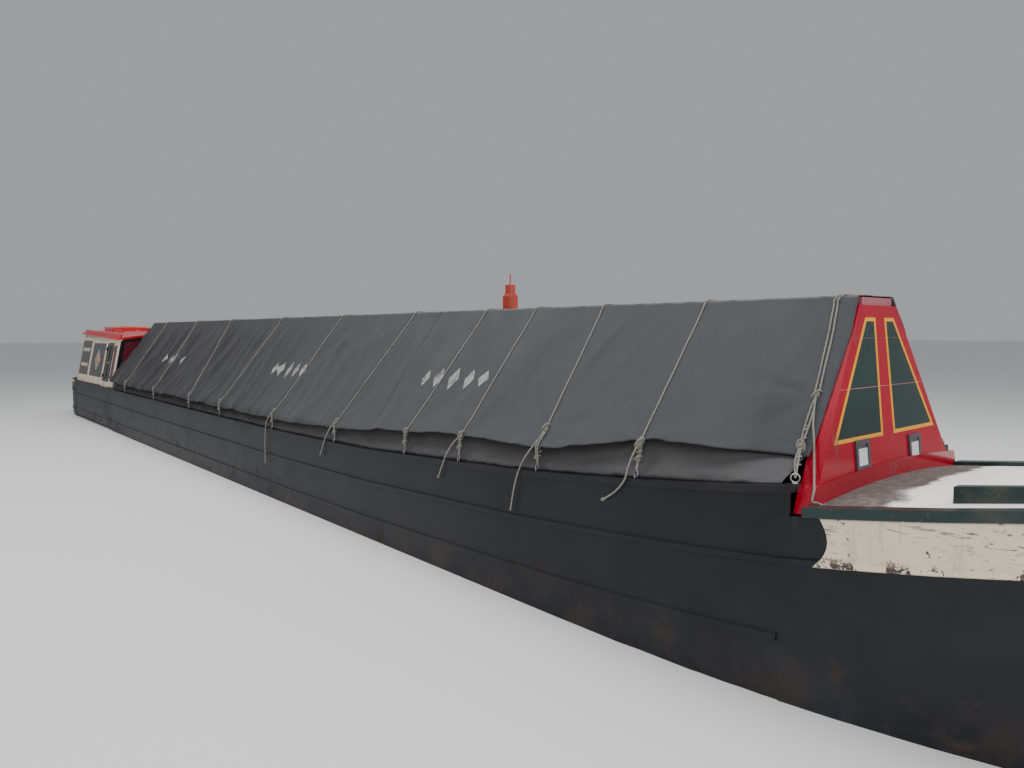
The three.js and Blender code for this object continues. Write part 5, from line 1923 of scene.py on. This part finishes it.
# Each brass band of the tiller: its two ends and its radius
TILLER_BANDS = (
    ((-9.980, 0, 2.482), (-9.955, 0, 2.4995), 0.0235),
    ((-9.835, 0, 2.5635), (-9.805, 0, 2.5685), 0.0235),
    ((-9.560, 0, 2.5815), (-9.530, 0, 2.5828), 0.0175),
)
STOCK_COLLAR = (-10.150, 0, 1.505)


def counter_point(angle, out, z):
    """A point out from the counter's rounded side."""
    sine, cosine = math.sin(angle), math.cos(angle)
    x = COUNTER_START - (COUNTER_RUN + out) * abs(sine) ** COUNTER_POWER
    return x, (COUNTER_HALF + out) * math.copysign(abs(cosine) ** COUNTER_POWER, cosine), z


def build_stern():
    """The white streak and red line round the counter, and the brass bands on the tiller."""
    shape = Shape()
    count = 72
    for low, high, finish in COUNTER_BANDS:
        points = []
        for i in range(count + 1):
            angle = math.pi * i / count
            for out, z in ((BAND_DEPTH, low), (BAND_OUT, low), (BAND_OUT, high), (BAND_DEPTH, high)):
                points.append(counter_point(angle, out, z))
        faces = quads(count, 4, True)
        faces += [[0, 1, 2, 3], [count * 4 + k for k in range(4)]]
        shape.add(points, faces, finish)
    shape.piece("counter_bands", "boat", "cream_paint", ["cream", "red"])
    tiller = Shape()
    for start, end, radius in TILLER_BANDS:
        tiller.tube(smooth_path([start, end], 0.005), radius, 20, 0)
    tiller.turned([(0.0375, 0.0), (0.0375, 0.012), (0.033, 0.020)], STOCK_COLLAR)
    tiller.piece("tiller_bands", "steering", "bronze", ["brass"])


# Operators
class BoatOperator:
    """What the operators share: each one runs its own build function."""

    bl_options = {"REGISTER", "UNDO"}
    build = None

    def execute(self, context):
        type(self).build()
        return {"FINISHED"}


class OBJECT_OT_narrowboat_stage(BoatOperator, bpy.types.Operator):
    """Adds the camera, the pale floor and the soft lights"""

    bl_idname = "object.narrowboat_stage"
    bl_label = "Stage"
    build = staticmethod(build_stage)


class OBJECT_OT_narrowboat_tails(BoatOperator, bpy.types.Operator):
    """Adds the free rope tails of the lashings"""

    bl_idname = "object.narrowboat_tails"
    bl_label = "Rope Tails"
    build = staticmethod(build_tails)


class OBJECT_OT_narrowboat_canvas(BoatOperator, bpy.types.Operator):
    """Adds the top cloths and side cloths"""

    bl_idname = "object.narrowboat_canvas"
    bl_label = "Canvas"
    build = staticmethod(build_canvas)


class OBJECT_OT_narrowboat_lashings(BoatOperator, bpy.types.Operator):
    """Adds the taut lashings with their knots and rings"""

    bl_idname = "object.narrowboat_lashings"
    bl_label = "Lashings"
    build = staticmethod(build_lashings)


class OBJECT_OT_narrowboat_finishes(BoatOperator, bpy.types.Operator):
    """Makes the paint, wood and metal finishes and dresses the CAD nodes"""

    bl_idname = "object.narrowboat_finishes"
    bl_label = "Finishes"

    @staticmethod
    def build():
        build_finishes()
        dress_nodes()


class OBJECT_OT_narrowboat_cratch(BoatOperator, bpy.types.Operator):
    """Adds the cratch board's painted face, the plank bolts and the mast's shoulders"""

    bl_idname = "object.narrowboat_cratch"
    bl_label = "Cratch and Mast"

    @staticmethod
    def build():
        build_cratch()
        build_plank_ends()
        build_mast_trim()


class OBJECT_OT_narrowboat_bow(BoatOperator, bpy.types.Operator):
    """Adds the old cream panels on the bow"""

    bl_idname = "object.narrowboat_bow"
    bl_label = "Bow Panels"
    build = staticmethod(build_bow_panels)


class OBJECT_OT_narrowboat_cabin(BoatOperator, bpy.types.Operator):
    """Adds the cabin's panels, mouldings, door trim and roof fittings"""

    bl_idname = "object.narrowboat_cabin"
    bl_label = "Cabin"

    @staticmethod
    def build():
        build_cabin_sides()
        build_cabin_ends()
        build_doors()
        build_roof_fittings()
        build_slide()


class OBJECT_OT_narrowboat_stern(BoatOperator, bpy.types.Operator):
    """Adds the counter's painted bands and the tiller's brass bands"""

    bl_idname = "object.narrowboat_stern"
    bl_label = "Stern"
    build = staticmethod(build_stern)


OPERATORS = (
    OBJECT_OT_narrowboat_stage,
    OBJECT_OT_narrowboat_tails,
    OBJECT_OT_narrowboat_canvas,
    OBJECT_OT_narrowboat_lashings,
    OBJECT_OT_narrowboat_finishes,
    OBJECT_OT_narrowboat_cratch,
    OBJECT_OT_narrowboat_bow,
    OBJECT_OT_narrowboat_cabin,
    OBJECT_OT_narrowboat_stern,
)


class VIEW3D_PT_narrowboat(bpy.types.Panel):
    """Lists the pieces of the narrowboat and their settings"""

    bl_idname = "VIEW3D_PT_narrowboat"
    bl_label = "Narrowboat"
    bl_space_type = "VIEW_3D"
    bl_region_type = "UI"
    bl_category = "Narrowboat"

    def draw(self, context):
        column = self.layout.column()
        for operator in OPERATORS:
            column.operator(operator.bl_idname)
        for name, group in SETTINGS.items():
            settings = getattr(context.scene, name)
            box = self.layout.box()
            for word in group.__annotations__:
                box.prop(settings, word)


CLASSES = (*SETTINGS.values(), *OPERATORS, VIEW3D_PT_narrowboat)


def register():
    """Registers the classes and hangs the settings on the scene."""
    for made in CLASSES:
        bpy.utils.register_class(made)
    for name, group in SETTINGS.items():
        setattr(bpy.types.Scene, name, PointerProperty(type=group))


def unregister():
    """Takes the settings and classes away again."""
    for name in SETTINGS:
        delattr(bpy.types.Scene, name)
    for made in reversed(CLASSES):
        bpy.utils.unregister_class(made)


def main():
    """Runs every operator."""
    register()
    for name, plan in GROUP_PLANS.items():
        GROUPS[name] = shared_group(name, *plan)
    for operator in OPERATORS:
        family, name = operator.bl_idname.split(".")
        getattr(getattr(bpy.ops, family), name)()


if __name__ == "__main__":
    main()
